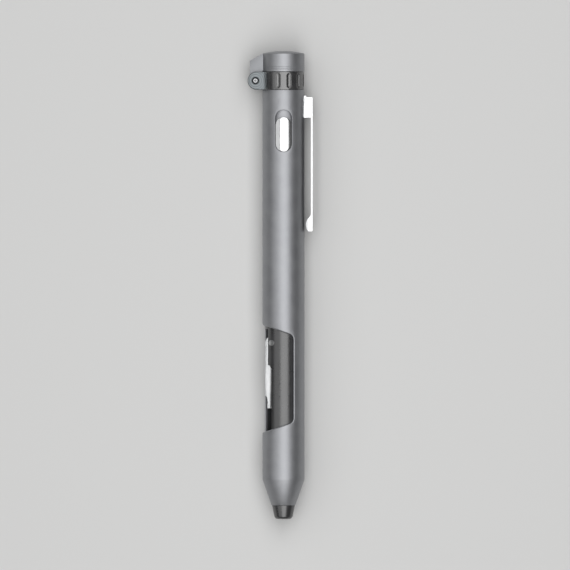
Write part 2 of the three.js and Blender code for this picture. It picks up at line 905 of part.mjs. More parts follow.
function bracketStuds(radius, length) {
  return both((side) =>
    plateX(
      circle(hingeY, side * bracketStudSpread, radius, pinFacets),
      -earInnerReach - saddleWidth / 2,
      length - earInnerReach,
    ),
  );
}

// Hinge bracket: two ears joined by a saddle that seats in the collar's pocket
function hingeBracket() {
  const earRadius = (bandHeight - runningGap) / 2;
  const nose = arc(-earReach, hingeY, earRadius, Math.PI / 2, (3 * Math.PI) / 2, rodFacets / 2);
  const flank = rounded([
    [-earReach, runningGap],
    [-earInnerReach, runningGap, earInnerRounding],
    [-earInnerReach, bandHeight, earInnerRounding],
    [-earReach, bandHeight],
  ]);
  const outline = [...nose, ...flank.slice(1, -1)];
  const block = plateZ(outline, -earHalfDepth, earHalfDepth);
  const gap = plateZ(
    rectangle(-hingeReach * 2, -earInnerReach - saddleWidth, -overrun, bandHeight + overrun),
    -earSlotHalfDepth,
    earSlotHalfDepth,
  );
  const hole = plateZ(
    circle(-hingeReach, hingeY, hingePinRadius + runningGap, pinFacets),
    -hingeReach,
    hingeReach,
  );
  const sink = turned(
    [
      [0, earHalfDepth - hingeSinkDepth],
      [hingePinRadius + runningGap, earHalfDepth - hingeSinkDepth],
      [hingeSinkRadius, earHalfDepth],
      [hingeSinkRadius, hingeReach],
      [0, hingeReach],
    ],
    rodFacets,
  );
  const sinks = both((side) => sink.rotate([side * 90, 0, 0]).translate(-hingeReach, hingeY, 0));
  const studs = bracketStuds(bracketStudRadius, bracketStudLength);
  return block.subtract(gap).subtract(hole).subtract(sinks).add(studs);
}

function hingePin() {
  const half = earHalfDepth - runningGap;
  const pin = turned(
    [
      [0, -half],
      [hingePinRadius, -half],
      [hingePinRadius, half],
      [hingeDimpleRadius, half],
      [0, half - hingeDimpleDepth],
    ],
    pinFacets,
  );
  return pin.rotate([90, 0, 0]);
}

// Battery tube: a cup that hangs from the collar and carries the shaft's socket in its floor
function batteryTube() {
  const floor = -batteryTubeLength;
  const body = turned(
    [
      [0, floor],
      [batteryTubeRadius, floor],
      [batteryTubeRadius, 0],
      [batteryTubeBore, 0],
      [batteryTubeBore, floor + batteryTubeFloor],
      [0, floor + batteryTubeFloor],
    ],
    ringFacets,
  );
  return body.subtract(shaftSquare(floor, runningGap));
}

function cell() {
  return turned(
    [
      [0, 0],
      [cellRadius - cellChamfer, 0],
      [cellRadius, cellChamfer],
      [cellRadius, cellHeight],
      [0, cellHeight],
    ],
    rodFacets,
  );
}

class Coil extends THREE.Curve {
  constructor(footRadius, topRadius, height, turns) {
    super();
    Object.assign(this, { footRadius, topRadius, height, turns });
  }
  getPoint(share) {
    const radius = THREE.MathUtils.lerp(this.footRadius, this.topRadius, share);
    const angle = 2 * Math.PI * this.turns * share;
    return new THREE.Vector3(
      radius * Math.sin(angle),
      this.height * share,
      radius * Math.cos(angle),
    );
  }
}

function batterySpring() {
  const height = batterySpringHeight - 2 * (batterySpringWire + runningGap);
  const path = new Coil(
    batterySpringFootRadius,
    batterySpringTopRadius,
    height,
    batterySpringTurns,
  );
  return wire(path, batterySpringWire, batterySpringTurns * pinFacets);
}

function ledBoard() {
  return turned(
    [
      [0, -boardContactHeight],
      [boardContactRadius, -boardContactHeight],
      [boardContactRadius, 0],
      [torchBoreRadius - looseGap, 0],
      [torchBoreRadius - looseGap, boardThickness],
      [0, boardThickness],
    ],
    rodFacets,
  );
}

function domed(radius, base, height) {
  return arc(0, 0, 1, 0, Math.PI / 2, filletSteps).map((point) => [
    Math.max(0, radius * point.x),
    base + height * point.y,
  ]);
}

function led() {
  const side = ledHeight - ledRadius;
  const dome = domed(ledRadius, side, ledRadius).slice(0, -1);
  const profile = [[0, 0], [ledFlangeRadius, 0], [ledFlangeRadius, ledFlangeHeight]];
  return turned([...profile, [ledRadius, ledFlangeHeight], ...dome, [0, ledHeight]], pinFacets);
}

function reflector() {
  const radius = torchBoreRadius - runningGap;
  const rise = (share) => [
    reflectorMouthRadius + (reflectorThroatRadius - reflectorMouthRadius) * share ** 2,
    reflectorHeight * (1 - share),
  ];
  const bowl = Array.from({ length: filletSteps + 1 }, (_, i) => rise(i / filletSteps));
  return turned([[radius, 0], [radius, reflectorHeight], ...bowl], rodFacets);
}

function lens() {
  const radius = torchBoreRadius - runningGap;
  const dome = domed(lensDomeRadius, lensFlange, lensDomeHeight).slice(0, -1);
  const top = [0, lensFlange + lensDomeHeight];
  return turned([[0, 0], [radius, 0], [radius, lensFlange], ...dome, top], rodFacets);
}

function lensBezel() {
  return turned(
    [
      [bezelBoreRadius, -bezelSkirt],
      [torchBoreRadius - runningGap, -bezelSkirt],
      [torchBoreRadius - runningGap, 0],
      [bezelFlangeRadius, 0],
      [bezelFlangeRadius, bezelFlangeHeight - bandChamfer],
      [bezelFlangeRadius - bandChamfer, bezelFlangeHeight],
      [bezelBoreRadius, bezelFlangeHeight],
    ],
    ringFacets,
  );
}

// Flip cap, measured from its lower rim: turned shell, side block and hinge knuckle in one
function capShell() {
  const side = capHeight - capShoulder - capDomeRise;
  const domeEdge = barrelRadius - capShoulder;
  const domeMiddle = (domeEdge + capFlatRadius) / 2;
  const fallShare = (domeMiddle ** 2 - capFlatRadius ** 2) / (domeEdge ** 2 - capFlatRadius ** 2);
  const shell = turned(
    [
      [capHollowRadius, 0],
      [barrelRadius - capChamfer, 0],
      [barrelRadius, capChamfer],
      [barrelRadius, side],
      [domeEdge, capHeight - capDomeRise],
      [domeMiddle, capHeight - capDomeRise * fallShare],
      [capFlatRadius, capHeight],
      [0, capHeight],
      [0, capHollowDepth],
      [capHollowRadius, capHollowDepth],
    ],
    barrelFacets,
  );
  const pivot = hingeY - bandHeight - capGap;
  const top = capHeight - capBlockTopDrop;
  const inner = earInnerReach + saddleWidth + capBlockClear;
  const block = plateZ(
    rounded([
      [-capBlockReach, pivot],
      [-inner, pivot],
      [-inner, 0],
      [-capBlockInner, 0],
      [-capBlockInner, top],
      [-barrelRadius, top],
      [-capBlockReach, capBlockSide, capChamfer],
    ]),
    -knuckleHalfDepth,
    knuckleHalfDepth,
  );
  const knuckle = plateZ(
    circle(-hingeReach, pivot, knuckleRadius, rodFacets),
    -knuckleHalfDepth,
    knuckleHalfDepth,
  );
  const hole = plateZ(
    circle(-hingeReach, pivot, hingePinRadius + runningGap, pinFacets),
    -hingeReach,
    hingeReach,
  );
  return shell.add(block).add(knuckle).subtract(hole);
}

// Refill, measured from its ball
function refillTip() {
  const plugRadius = refillRadius - refillWall - runningGap;
  return turned(
    [
      [0, 0],
      [refillPointRadius / 2, 0],
      [refillPointRadius, refillPointRadius],
      [refillPointRadius, refillPointLength],
      [refillNeckRadius, refillPointLength + refillNeckRadius],
      [refillNeckRadius, refillNeckTop],
      [refillRadius, refillNeckTop],
      [refillRadius, refillCollarTop],
      [plugRadius, refillCollarTop],
      [plugRadius, refillCollarTop + refillPlugLength],
      [0, refillCollarTop + refillPlugLength],
    ],
    pinFacets,
  );
}

function refillTube() {
  const bore = refillRadius - refillWall;
  return tube(bore, refillRadius, refillCollarTop, refillLength, pinFacets);
}

function refillCarrier() {
  const socket = refillRadius + runningGap;
  const body = turned(
    [
      [socket, stemBottom],
      [stemRadius, stemBottom],
      [stemRadius, carrierBottom],
      [carrierRadius, carrierBottom],
      [carrierRadius, carrierTop],
      [0, carrierTop],
      [0, refillInset + refillLength + runningGap],
      [socket, refillInset + refillLength + runningGap],
    ],
    rodFacets,
  );
  const hole = plateX(
    circle(carrierPinY, 0, carrierPinRadius + runningGap, pinFacets),
    carrierPinInset - runningGap,
    carrierRadius + overrun,
  );
  return body.subtract(hole);
}

function carrierPin() {
  return plateX(
    circle(carrierPinY, 0, carrierPinRadius, pinFacets),
    carrierPinInset,
    coreRadius - stemRoom,
  );
}

function buttonPegs(radius, low, high) {
  const middle = switchSlotBottom + looseGap + buttonLength / 2;
  return both((side) =>
    plateZ(circle(0, middle + side * buttonPegSpread, radius, pinFacets), low, high),
  );
}

// Switch button: crowned both ways, on two pegs that reach into the carrier
function switchButton() {
  const low = switchSlotBottom + looseGap;
  const under = boreRadius - runningGap;
  const top = barrelRadius + buttonRise;
  const blank = plateZ(
    stadium(switchSlotHalfWidth - looseGap, low, low + buttonLength),
    under,
    top + overrun,
  );
  const crown = rod(buttonCrownRadius, low - overrun, low + buttonLength + overrun, barrelFacets);
  const across = crown.translate(0, 0, top - buttonCrownRadius);
  const along = plateX(
    circle(low + buttonLength / 2, top - buttonLengthCrown, buttonLengthCrown, barrelFacets * 2),
    -barrelRadius,
    barrelRadius,
  );
  const pegs = buttonPegs(buttonPegRadius, under - buttonPegLength, top - buttonPegLength);
  return blank.intersect(across).intersect(along).add(pegs.intersect(across));
}

// Switch carrier: a curved plate that closes the slot from inside, with a ring round the shaft
function switchCarrier() {
  const inner = batteryTubeRadius + looseGap;
  const outer = boreRadius - looseGap;
  const low = switchSlotBottom - switchTravel;
  const high = switchSlotTop + looseGap;
  const plate = plateY(
    sector(inner, outer, -carrierPlateHalfAngle, carrierPlateHalfAngle, rodFacets / 2),
    low,
    high,
  );
  const flangeTop = contactTop - contactThickness;
  const flange = tube(
    shaftRadius + shaftHoleGap,
    outer,
    flangeTop - switchFlange,
    flangeTop,
    ringFacets,
  );
  const holeFloor = boreRadius - buttonPegLength - 2 * runningGap;
  const holes = buttonPegs(buttonPegRadius + runningGap, holeFloor, barrelRadius);
  return plate.add(flange).subtract(holes);
}

function switchContact() {
  const low = contactTop - contactThickness;
  return tube(contactInnerRadius, contactOuterRadius, low, contactTop, rodFacets);
}

// Clip foot: a plate riveted to the barrel's flat by two studs, with two lugs for the pivot. It
// lies between the arm's cheeks
function clipBracket() {
  const plate = plateX(
    rectangle(clipFootBottom, clipFootTop, -clipFootHalfWidth, clipFootHalfWidth),
    clipFlat,
    clipFootFace,
  );
  const lugOutline = [
    ...arc(clipPivotX, clipPivotY, clipLugRadius, -Math.PI / 3, Math.PI / 3, pinFacets / 2),
    new THREE.Vector2(clipFlat + clipFootThickness / 2, clipPivotY + clipLugRadius),
    new THREE.Vector2(clipFlat + clipFootThickness / 2, clipPivotY - clipLugRadius),
  ];
  const lugInner = clipFootHalfWidth - clipLugThickness;
  const lugs = plateZ(lugOutline, lugInner, clipFootHalfWidth).add(
    plateZ(lugOutline, -clipFootHalfWidth, -lugInner),
  );
  const studs = both((side) => clipStud(side, clipStudRadius, boreRadius + runningGap, clipFootFace));
  const hole = plateZ(
    circle(clipPivotX, clipPivotY, clipPinRadius + runningGap, pinFacets),
    -clipHalfWidth,
    clipHalfWidth,
  );
  return plate.add(lugs).add(studs).subtract(hole);
}

function clipPin() {
  const half = clipHalfWidth - runningGap;
  return plateZ(circle(0, 0, clipPinRadius, pinFacets), -half, half);
}

// Clip spring, measured from the pivot: a coil on the pin with two short legs
class ClipSpringPath extends THREE.Curve {
  getPoint(share) {
    const arcLength = 2 * Math.PI * clipSpringRadius * clipSpringTurns;
    const total = arcLength + 2 * clipSpringLeg;
    const along = share * total;
    const coilAlong = THREE.MathUtils.clamp(along - clipSpringLeg, 0, arcLength);
    const angle = Math.PI + coilAlong / clipSpringRadius;
    const z = clipSpringHalfDepth * ((2 * coilAlong) / arcLength - 1);
    const x = clipSpringRadius * Math.cos(angle);
    const y = clipSpringRadius * Math.sin(angle);
    if (along < clipSpringLeg) return new THREE.Vector3(x, y + clipSpringLeg - along, z);
    const beyond = Math.max(0, along - clipSpringLeg - arcLength);
    return new THREE.Vector3(x, y + beyond, z);
  }
}

function clipSpring() {
  return wire(new ClipSpringPath(), clipSpringWire, rodFacets + pinFacets);
}

// Clip arm, measured from the pivot: strip with its fin, and two cheeks that hold the pin and
// come down past the foot to the barrel's flat, with their heels relieved for the clip's turn
function clipArm() {
  const outer = clipArmReach - clipPivotX;
  const inner = clipArmInner - clipPivotX;
  const top = clipPivotDrop - clipArmTopDrop;
  const tip = top - clipTipDrop;
  const bend = clipArmThickness;
  const strip = plateZ(
    rounded([
      [outer, tip, bend / 2],
      [outer, top, bend / 2],
      [inner, top],
      [inner, tip + clipFinLength, bend * 2],
      [inner - clipFinInward, tip + clipFinCrestRise, clipFinCrestRounding],
      [inner - clipFinEndInward, tip, bend / 2],
    ]),
    -clipHalfWidth,
    clipHalfWidth,
  );
  const under = clipFlat + clipCheekClear - clipPivotX;
  const cheekOutline = rounded([
    [under, top - clipCheekLength, bend / 2],
    [outer - bend, top - clipCheekLength],
    [outer - bend, top],
    [under + clipHeelRelief, top, bend / 2],
    [under, clipPinRadius / 2],
  ]);
  const cheekInner = clipHalfWidth - clipCheekThickness;
  const cheeks = plateZ(cheekOutline, cheekInner, clipHalfWidth).add(
    plateZ(cheekOutline, -clipHalfWidth, -cheekInner),
  );
  const hole = plateZ(
    circle(0, 0, clipPinRadius + runningGap, pinFacets),
    -clipHalfWidth,
    clipHalfWidth,
  );
  return strip.add(cheeks).subtract(hole);
}

// A group of pieces that move together, placed at its own reference point
function assembly(x, y, ...pieces) {
  const group = new THREE.Group();
  group.position.set(x, y, 0);
  group.add(...pieces);
  return group;
}

function raised(mesh, y) {
  mesh.position.y = y;
  return mesh;
}

const fixedBody = assembly(
  0,
  0,
  piece("barrel", barrel(), satinAluminium),
  piece("nose_tip", noseTip(), blackPlastic),
  piece("tool_core", toolCore(), blackPlastic),
  piece("guide_sleeve", guideSleeve(), brass),
  piece("retaining_ring", retainingRing(), brushedSteel),
  piece("clip_bracket", clipBracket(), polishedSteel),
);

const toolPivot = assembly(
  toolPivotX,
  toolPivotY,
  piece("tool_pin", toolPin(), brushedSteel),
  piece("tool_washer_front", toolWasher(1), brass),
  piece("tool_washer_back", toolWasher(-1), brass),
  piece("knife", knife(), brushedSteel),
  piece("nail_file", nailFile(), brushedSteel),
  piece("phillips_driver", phillipsDriver(), brushedSteel),
);

const clip = assembly(
  clipPivotX,
  clipPivotY,
  piece("clip_arm", clipArm(), polishedSteel),
  piece("clip_pin", clipPin(), brushedSteel),
  piece("clip_spring", clipSpring(), brushedSteel),
);

const writingPoint = assembly(
  0,
  refillInset,
  piece("refill_tip", refillTip(), brass),
  piece("refill_tube", refillTube(), inkTube),
);

const twistAction = assembly(
  0,
  0,
  piece("refill_carrier", refillCarrier(), blackPlastic),
  piece("carrier_pin", carrierPin(), brushedSteel),
  piece("cam_tube", camTube(), brass),
  piece("drive_shaft", driveShaft(), brushedSteel),
);

const lightSwitch = assembly(
  0,
  0,
  piece("switch_button", switchButton(), polishedSteel),
  piece("switch_carrier", switchCarrier(), satinAluminium),
  piece("switch_contact", switchContact(), brass),
);

const springFoot = batteryTubeFloor - batteryTubeLength + batterySpringWire + runningGap;
const hinge = piece("hinge_pin", hingePin(), polishedSteel);
hinge.position.set(-hingeReach, hingeY, 0);
const head = assembly(
  0,
  headBottom,
  piece("head_collar", headCollar(), blackPlastic),
  piece("hinge_bracket", hingeBracket(), hingeGrey),
  hinge,
  piece("battery_tube", batteryTube(), brass),
  raised(piece("battery_spring", batterySpring(), brushedSteel), springFoot),
  piece("led_board", ledBoard(), greenBoard),
  raised(piece("led", led(), clearPlastic), boardThickness),
  raised(piece("reflector", reflector(), mirrorChrome), boardThickness),
  raised(piece("lens", lens(), clearPlastic), bandHeight - bezelSkirt - runningGap - lensFlange),
  raised(piece("lens_bezel", lensBezel(), polishedSteel), bandHeight),
);
for (let i = 0; i < cellCount; i += 1) {
  const top = -boardContactHeight - i * cellHeight;
  head.add(raised(piece("cell_" + (i + 1), cell(), brushedSteel), top - cellHeight));
}

const cap = assembly(0, capBottom, piece("cap_shell", capShell(), satinAluminium));

// The pen lies on the flat under its barrel, centred on what it covers
const earTip = earReach + (bandHeight - runningGap) / 2;
const restHeight = barrelRadius * Math.cos(Math.PI / barrelFacets);
const pen = new THREE.Group();
pen.add(fixedBody, toolPivot, clip, writingPoint, twistAction, lightSwitch, head, cap);
pen.position.set((earTip - clipArmReach) / 2, -penLength / 2, restHeight);

export default pen;
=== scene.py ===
# A multi tool pen lying on its back: a twist ballpoint with a torch under its flip cap, a slide
# switch, a sprung pocket clip and a bay of fold-out tools. Sizes are in millimetres from the
# writing tip, with the pen's axis at x = 0, z = 0, until a piece is finished in metres.
import math

import bmesh
import bpy
from mathutils import Matrix, Vector
from mathutils.geometry import delaunay_2d_cdt


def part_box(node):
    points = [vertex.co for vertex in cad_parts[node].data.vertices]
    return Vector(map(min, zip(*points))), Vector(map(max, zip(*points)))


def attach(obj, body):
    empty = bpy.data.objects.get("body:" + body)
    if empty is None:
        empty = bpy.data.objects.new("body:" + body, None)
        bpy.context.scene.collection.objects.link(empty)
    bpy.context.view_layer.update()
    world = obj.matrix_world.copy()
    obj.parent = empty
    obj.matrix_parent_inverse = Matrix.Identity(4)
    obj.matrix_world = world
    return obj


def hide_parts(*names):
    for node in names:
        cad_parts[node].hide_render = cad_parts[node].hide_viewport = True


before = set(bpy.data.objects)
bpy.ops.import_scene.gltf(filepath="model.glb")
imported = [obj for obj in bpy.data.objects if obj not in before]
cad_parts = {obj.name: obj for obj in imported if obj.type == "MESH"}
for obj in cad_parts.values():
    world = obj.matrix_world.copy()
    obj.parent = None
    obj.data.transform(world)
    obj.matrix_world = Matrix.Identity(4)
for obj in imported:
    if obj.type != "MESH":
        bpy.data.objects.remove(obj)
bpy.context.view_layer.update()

# The camera looks straight down on the pen through a long lens, six metres above it and a
# little to the clip's side, and takes in 183 mm at the pen's axis.
mm = 0.001
nose_low, nose_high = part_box("nose_tip")
axis = (nose_low + nose_high) / 2
pen_origin = Vector((axis.x, nose_low.y, axis.z))
camera_height = 6000 * mm
camera_aim = Vector((0.48, 75.05, 0)) * mm
camera_width = 182.8 * mm
camera_near = 10 * mm
camera_far = 20000 * mm
scene = bpy.context.scene
camera_data = bpy.data.cameras.new("overhead_camera")
camera_data.sensor_fit = "HORIZONTAL"
camera_data.angle = 2 * math.atan(camera_width / 2 / camera_height)
camera_data.clip_start = camera_near
camera_data.clip_end = camera_far
camera = bpy.data.objects.new("overhead_camera", camera_data)
camera.location = pen_origin + camera_aim + Vector((0, 0, camera_height))
scene.collection.objects.link(camera)
scene.camera = camera
scene.view_settings.view_transform = "Standard"

# The studio: a pale card table, a softbox overhead, a weaker panel low on the left, and a little
# light from all round.
table_size = 6000 * mm
table_colour = (0.60, 0.60, 0.595, 1)
card_roughness = 0.85
card_specular = 0.2
softbox_height = 600 * mm
softbox_width = 580 * mm
softbox_length = 1500 * mm
softbox_right = 62 * mm
softbox_power = 5.9
panel_distance = 800 * mm
panel_lean = math.radians(44)
panel_width = 550 * mm
panel_power = 2.05
room_strength = 0.12


def new_material(name):
    """A material with its node tree and its shader."""
    made = bpy.data.materials.new(name)
    made.use_nodes = True
    return made, made.node_tree, made.node_tree.nodes["Principled BSDF"]


def feed(tree, socket, value):
    """Gives a socket a number, a colour or another node's socket."""
    if isinstance(value, bpy.types.NodeSocket):
        tree.links.new(value, socket)
    else:
        socket.default_value = value


def fed(tree, node, **inputs):
    """A node whose inputs are fed by name."""
    for key, value in inputs.items():
        feed(tree, node.inputs[key.replace("_", " ")], value)
    return node


table_bm = bmesh.new()
bmesh.ops.create_grid(table_bm, x_segments=1, y_segments=1, size=table_size / 2)
table_mesh = bpy.data.meshes.new("table_top")
table_bm.to_mesh(table_mesh)
table_bm.free()
table_top = bpy.data.objects.new("table_top", table_mesh)
scene.collection.objects.link(table_top)
card, card_tree, card_shader = new_material("pale_card")
fed(card_tree, card_shader, Base_Color=table_colour, Roughness=card_roughness)
fed(card_tree, card_shader, Specular_IOR_Level=card_specular)
table_mesh.materials.append(card)


def lamp(name, width, power, distance, lean, right=0):
    """A rectangular lamp that faces the pen from a distance, leaning to the left by an angle."""
    data = bpy.data.lights.new(name, "AREA")
    data.shape = "RECTANGLE"
    data.size = width
    data.size_y = softbox_length
    data.energy = power
    made = bpy.data.objects.new(name, data)
    reach = Vector((right - distance * math.sin(lean), 0, distance * math.cos(lean)))
    made.location = pen_origin + camera_aim + reach
    made.rotation_euler = (0, -lean, 0)
    made.visible_camera = False
    scene.collection.objects.link(made)


lamp("softbox", softbox_width, softbox_power, softbox_height, 0, softbox_right)
lamp("side_panel", panel_width, panel_power, panel_distance, panel_lean)

room = bpy.data.worlds.new("room")
room.use_nodes = True
room.node_tree.nodes["Background"].inputs["Color"].default_value = (1, 1, 1, 1)
room.node_tree.nodes["Background"].inputs["Strength"].default_value = room_strength
scene.world = room

# Barrel: one aluminium tube turned with its cone, then milled for the tool window, the switch
# and the clip's seat, and anodised a satin gunmetal. The milled edges are broken with a small
# round all along.
barrel_radius = axis.z / mm
bore_radius = 5.8
barrel_top = 137.6
cone_foot = 4.4
cone_foot_radius = 3.82
cone_top = 12.7
bore_floor = 14.0
passage_radius = 1.5
nose_socket_radius = 2.75
nose_socket_top = 10.3
ring_groove = (136.0, 136.6)
ring_groove_radius = 6.1
barrel_edge = 0.18
broken_share = 0.3
window_low = 27.75
window_high = 62.25
window_reach = 3.2
window_rounding = 1.9
window_slope = 0.335
window_depth = 2.9
window_back_slope = 0.7
window_edge = 0.4
window_slope_steps = 60
window_corner_steps = 8
window_front_steps = 14
window_back_steps = 17
slot_low = 117.7
slot_high = 131.2
slot_half_width = 2.7
slot_edge = 0.12
slot_end_steps = 24
seat_low = 128.6
seat_high = 135.8
seat_flat = 6.3
seat_arc_steps = 20
straight_steps = 4
turn_steps = 180
seam_angle = math.radians(-230)
row_spacing = 2.0
row_share = 0.118
crowding_share = 0.45
edge_steps = 4
weld = 1e-4
flat_tolerance = 1e-7
unstretched = (1, 1, 1)
grain_frequency = 1000
grain_detail = 4
grain_strength = 0.5
wear_detail = 5


def spread(start, end, count):
    """Evenly spaced values from start to end, both included."""
    return [start + (end - start) * i / count for i in range(count + 1)]


def on_pen(radius, angle, y):
    """A point of the pen at an angle measured from straight up towards the clip."""
    return Vector((radius * math.sin(angle), y, radius * math.cos(angle)))


def join_rings(bm, first, second, closed=True):
    """Faces between two rows of vertices, where a row of one is a pole."""
    count = max(len(first), len(second))
    for i in range(count if closed else count - 1):
        k = (i + 1) % count
        corners = [first[i % len(first)], first[k % len(first)]]
        corners += [second[k % len(second)], second[i % len(second)]]
        corners = list(dict.fromkeys(corners))
        if len(corners) > 2:
            bm.faces.new(corners)


def join_rows(bm, rows, closed=True):
    """Faces between each row of vertices and the next."""
    for first, second in zip(rows, rows[1:]):
        join_rings(bm, first, second, closed)


def lathe_rings(bm, profile, steps, start=0.0):
    """Turns each (radius, y) corner of a profile into a ring, or a single vertex on the axis."""
    rings = []
    for radius, y in profile:
        angles = [start + 2 * math.pi * i / steps for i in range(steps if radius > weld else 1)]
        rings.append([bm.verts.new(on_pen(radius, angle, y)) for angle in angles])
    join_rows(bm, rings)
    return rings


def rounded(corners, steps=edge_steps):
    """A closed outline of (x, y, rounding) corners with each rounding drawn as an arc."""
    outline = []
    for i, (x, y, radius) in enumerate(corners):
        corner = Vector((x, y))
        if not radius:
            outline.append(corner)
            continue
        before = (Vector(corners[i - 1][:2]) - corner).normalized()
        after = (Vector(corners[(i + 1) % len(corners)][:2]) - corner).normalized()
        half = before.angle(after) / 2
        centre = corner + (before + after).normalized() * (radius / math.sin(half))
        start = corner + before * (radius / math.tan(half)) - centre
        end = corner + after * (radius / math.tan(half)) - centre
        turn = end.angle_signed(start)
        for k in range(steps + 1):
            outline.append(Matrix.Rotation(turn * k / steps, 2) @ start + centre)
    return outline


def is_inside(point, loop):
    """Whether a flat point lies inside a closed loop of flat points."""
    inside = False
    for a, b in zip(loop, loop[1:] + loop[:1]):
        if (a.y > point.y) != (b.y > point.y):
            crossing = a.x + (b.x - a.x) * (point.y - a.y) / (b.y - a.y)
            inside ^= point.x < crossing
    return inside


def window_loop(radius, grow):
    """The window's edge at one radius of the barrel, as (angle, y) points."""
    steepness = math.hypot(1, window_slope)
    rounding = window_rounding + grow
    centre_x = window_reach - window_rounding
    low_line = window_low + window_slope * (centre_x + barrel_radius) - grow * steepness
    centre_y = low_line + rounding * steepness
    tilt = math.atan(window_slope)
    depth = window_depth + grow + window_back_slope * (barrel_radius - radius)
    back = -math.acos(-depth / radius)
    front = math.asin((centre_x + rounding * math.sin(tilt)) / radius)
    half = []
    for angle in spread(back, front, window_slope_steps)[:-1]:
        x = radius * math.sin(angle)
        half.append((angle, window_low + window_slope * (x + barrel_radius) - grow * steepness))
    for turn in spread(tilt - math.pi / 2, 0, window_corner_steps):
        x = centre_x + rounding * math.cos(turn)
        half.append((math.asin(x / radius), centre_y + rounding * math.sin(turn)))
    other = [(angle, window_low + window_high - y) for angle, y in reversed(half)]
    right = [(half[-1][0], y) for y in spread(half[-1][1], other[0][1], window_front_steps)[1:-1]]
    left = [(back, y) for y in spread(other[-1][1], half[0][1], window_back_steps)[1:-1]]
    return half + right + other + left


def slot_loop(radius, grow):
    """The switch slot's edge at one radius of the barrel, as (angle, y) points."""
    width = slot_half_width + grow
    ends = ((slot_low + slot_half_width, math.pi), (slot_high - slot_half_width, 0))
    loop = []
    for (middle, start), side in zip(ends, (-1, 1)):
        for turn in spread(start, start + math.pi, slot_end_steps):
            x = width * math.cos(turn)
            loop.append((math.asin(x / radius), middle + width * math.sin(turn)))
        following = ends[1][0] if side < 0 else ends[0][0]
        x = -side * width
        for y in spread(middle, following, straight_steps)[1:-1]:
            loop.append((math.asin(x / radius), y))
    return loop


def seat_loop(radius):
    """The border of the clip's seat, where a flat cuts the barrel, as (angle, y) points."""
    near = math.asin(seat_flat / radius)
    angles = spread(near, math.pi - near, seat_arc_steps)
    sides = spread(seat_low, seat_high, straight_steps)
    loop = [(angle, seat_low) for angle in angles]
    loop += [(angles[-1], y) for y in sides[1:-1]]
    loop += [(angle, seat_high) for angle in reversed(angles)]
    loop += [(angles[0], y) for y in reversed(sides[1:-1])]
    return loop


def pierced_tube(bm, radius, rows, loops):
    """A round wall with rows of vertices at each y, left open inside each (angle, y) loop."""
    # The wall is meshed flat, drawn in along the pen so that its faces may be long ones.
    spacing = 2 * math.pi / turn_steps
    flat_loops = [[Vector((angle, y * row_share / radius)) for angle, y in loop] for loop in loops]
    borders = [point for flat in flat_loops for point in flat]
    points = []
    for y in rows:
        for i in range(turn_steps + 1):
            point = Vector((seam_angle + spacing * i, y * row_share / radius))
            near = any((point - other).length < spacing * crowding_share for other in borders)
            if not near and not any(is_inside(point, flat) for flat in flat_loops):
                points.append(point)
    edges = []
    for flat in flat_loops:
        first = len(points)
        points += flat
        edges += [(first + i, first + (i + 1) % len(flat)) for i in range(len(flat))]
    flat_points, _, faces, _, _, _ = delaunay_2d_cdt(points, edges, [], 0, flat_tolerance)
    verts = [bm.verts.new(on_pen(radius, p.x, p.y * radius / row_share)) for p in flat_points]
    for corners in faces:
        middle = sum((flat_points[c] for c in corners), Vector((0, 0))) / len(corners)
        if not any(is_inside(middle, flat) for flat in flat_loops):
            bm.faces.new([verts[c] for c in corners])


def opening_wall(bm, loop_of, edge):
    """The rounded lip and the straight wall of an opening, from outside to the bore."""
    stages = []
    for turn in spread(0, math.pi / 2, edge_steps):
        stages.append((barrel_radius - edge * (1 - math.cos(turn)), edge * (1 - math.sin(turn))))
    stages.append((bore_radius, 0))
    rings = []
    for radius, grow in stages:
        rings.append([bm.verts.new(on_pen(radius, angle, y)) for angle, y in loop_of(radius, grow)])
    join_rows(bm, rings)


def settled(bm):
    """Welds a solid's seams and turns its faces outwards."""
    bmesh.ops.remove_doubles(bm, verts=bm.verts, dist=weld)
    bmesh.ops.dissolve_degenerate(bm, edges=bm.edges, dist=weld / 10)
    bmesh.ops.recalc_face_normals(bm, faces=bm.faces)
    return bm


def moved(bm, way):
    """A solid moved along a vector."""
    bmesh.ops.translate(bm, verts=bm.verts, vec=way)
    return bm


def finished(name, bm, material, body, nodes, origin=(0, 0, 0), crease=32):
    """A piece made of a solid in pen millimetres, on its body and in place of its CAD nodes."""
    moved(bm, -Vector(origin))
    bmesh.ops.scale(bm, verts=bm.verts, vec=(mm, mm, mm))
    mesh = bpy.data.meshes.new(name)
    bm.to_mesh(mesh)
    bm.free()
    mesh.shade_smooth()
    mesh.set_sharp_from_angle(angle=math.radians(crease))
    mesh.materials.append(material)
    made = bpy.data.objects.new(name, mesh)
    made.location = pen_origin + Vector(origin) * mm
    scene.collection.objects.link(made)
    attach(made, body)
    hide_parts(*nodes)
    return made


def add(tree, kind, **inputs):
    """A new shader node with its inputs fed."""
    return fed(tree, tree.nodes.new("ShaderNode" + kind), **inputs)


def reckoned(tree, operation, *values):
    """A number worked out from others by a Math node."""
    node = add(tree, "Math")
    node.operation = operation
    for socket, value in zip(node.inputs, values):
        feed(tree, socket, value)
    return node.outputs["Value"]


def stretched_noise(tree, scale, frequency, detail):
    """Noise over the piece, its frequency per metre, drawn out along the axes with a low scale."""
    place = add(tree, "TexCoord").outputs["Object"]
    stretched = add(tree, "Mapping", Vector=place, Scale=scale).outputs["Vector"]
    return add(tree, "TexNoise", Vector=stretched, Scale=frequency, Detail=detail).outputs["Fac"]


def ranged(tree, value, low, high, from_low=0.3, from_high=0.7):
    """A grey pattern moved into a range of its own."""
    node = add(tree, "MapRange", Value=value, From_Min=from_low, From_Max=from_high)
    return fed(tree, node, To_Min=low, To_Max=high).outputs["Result"]


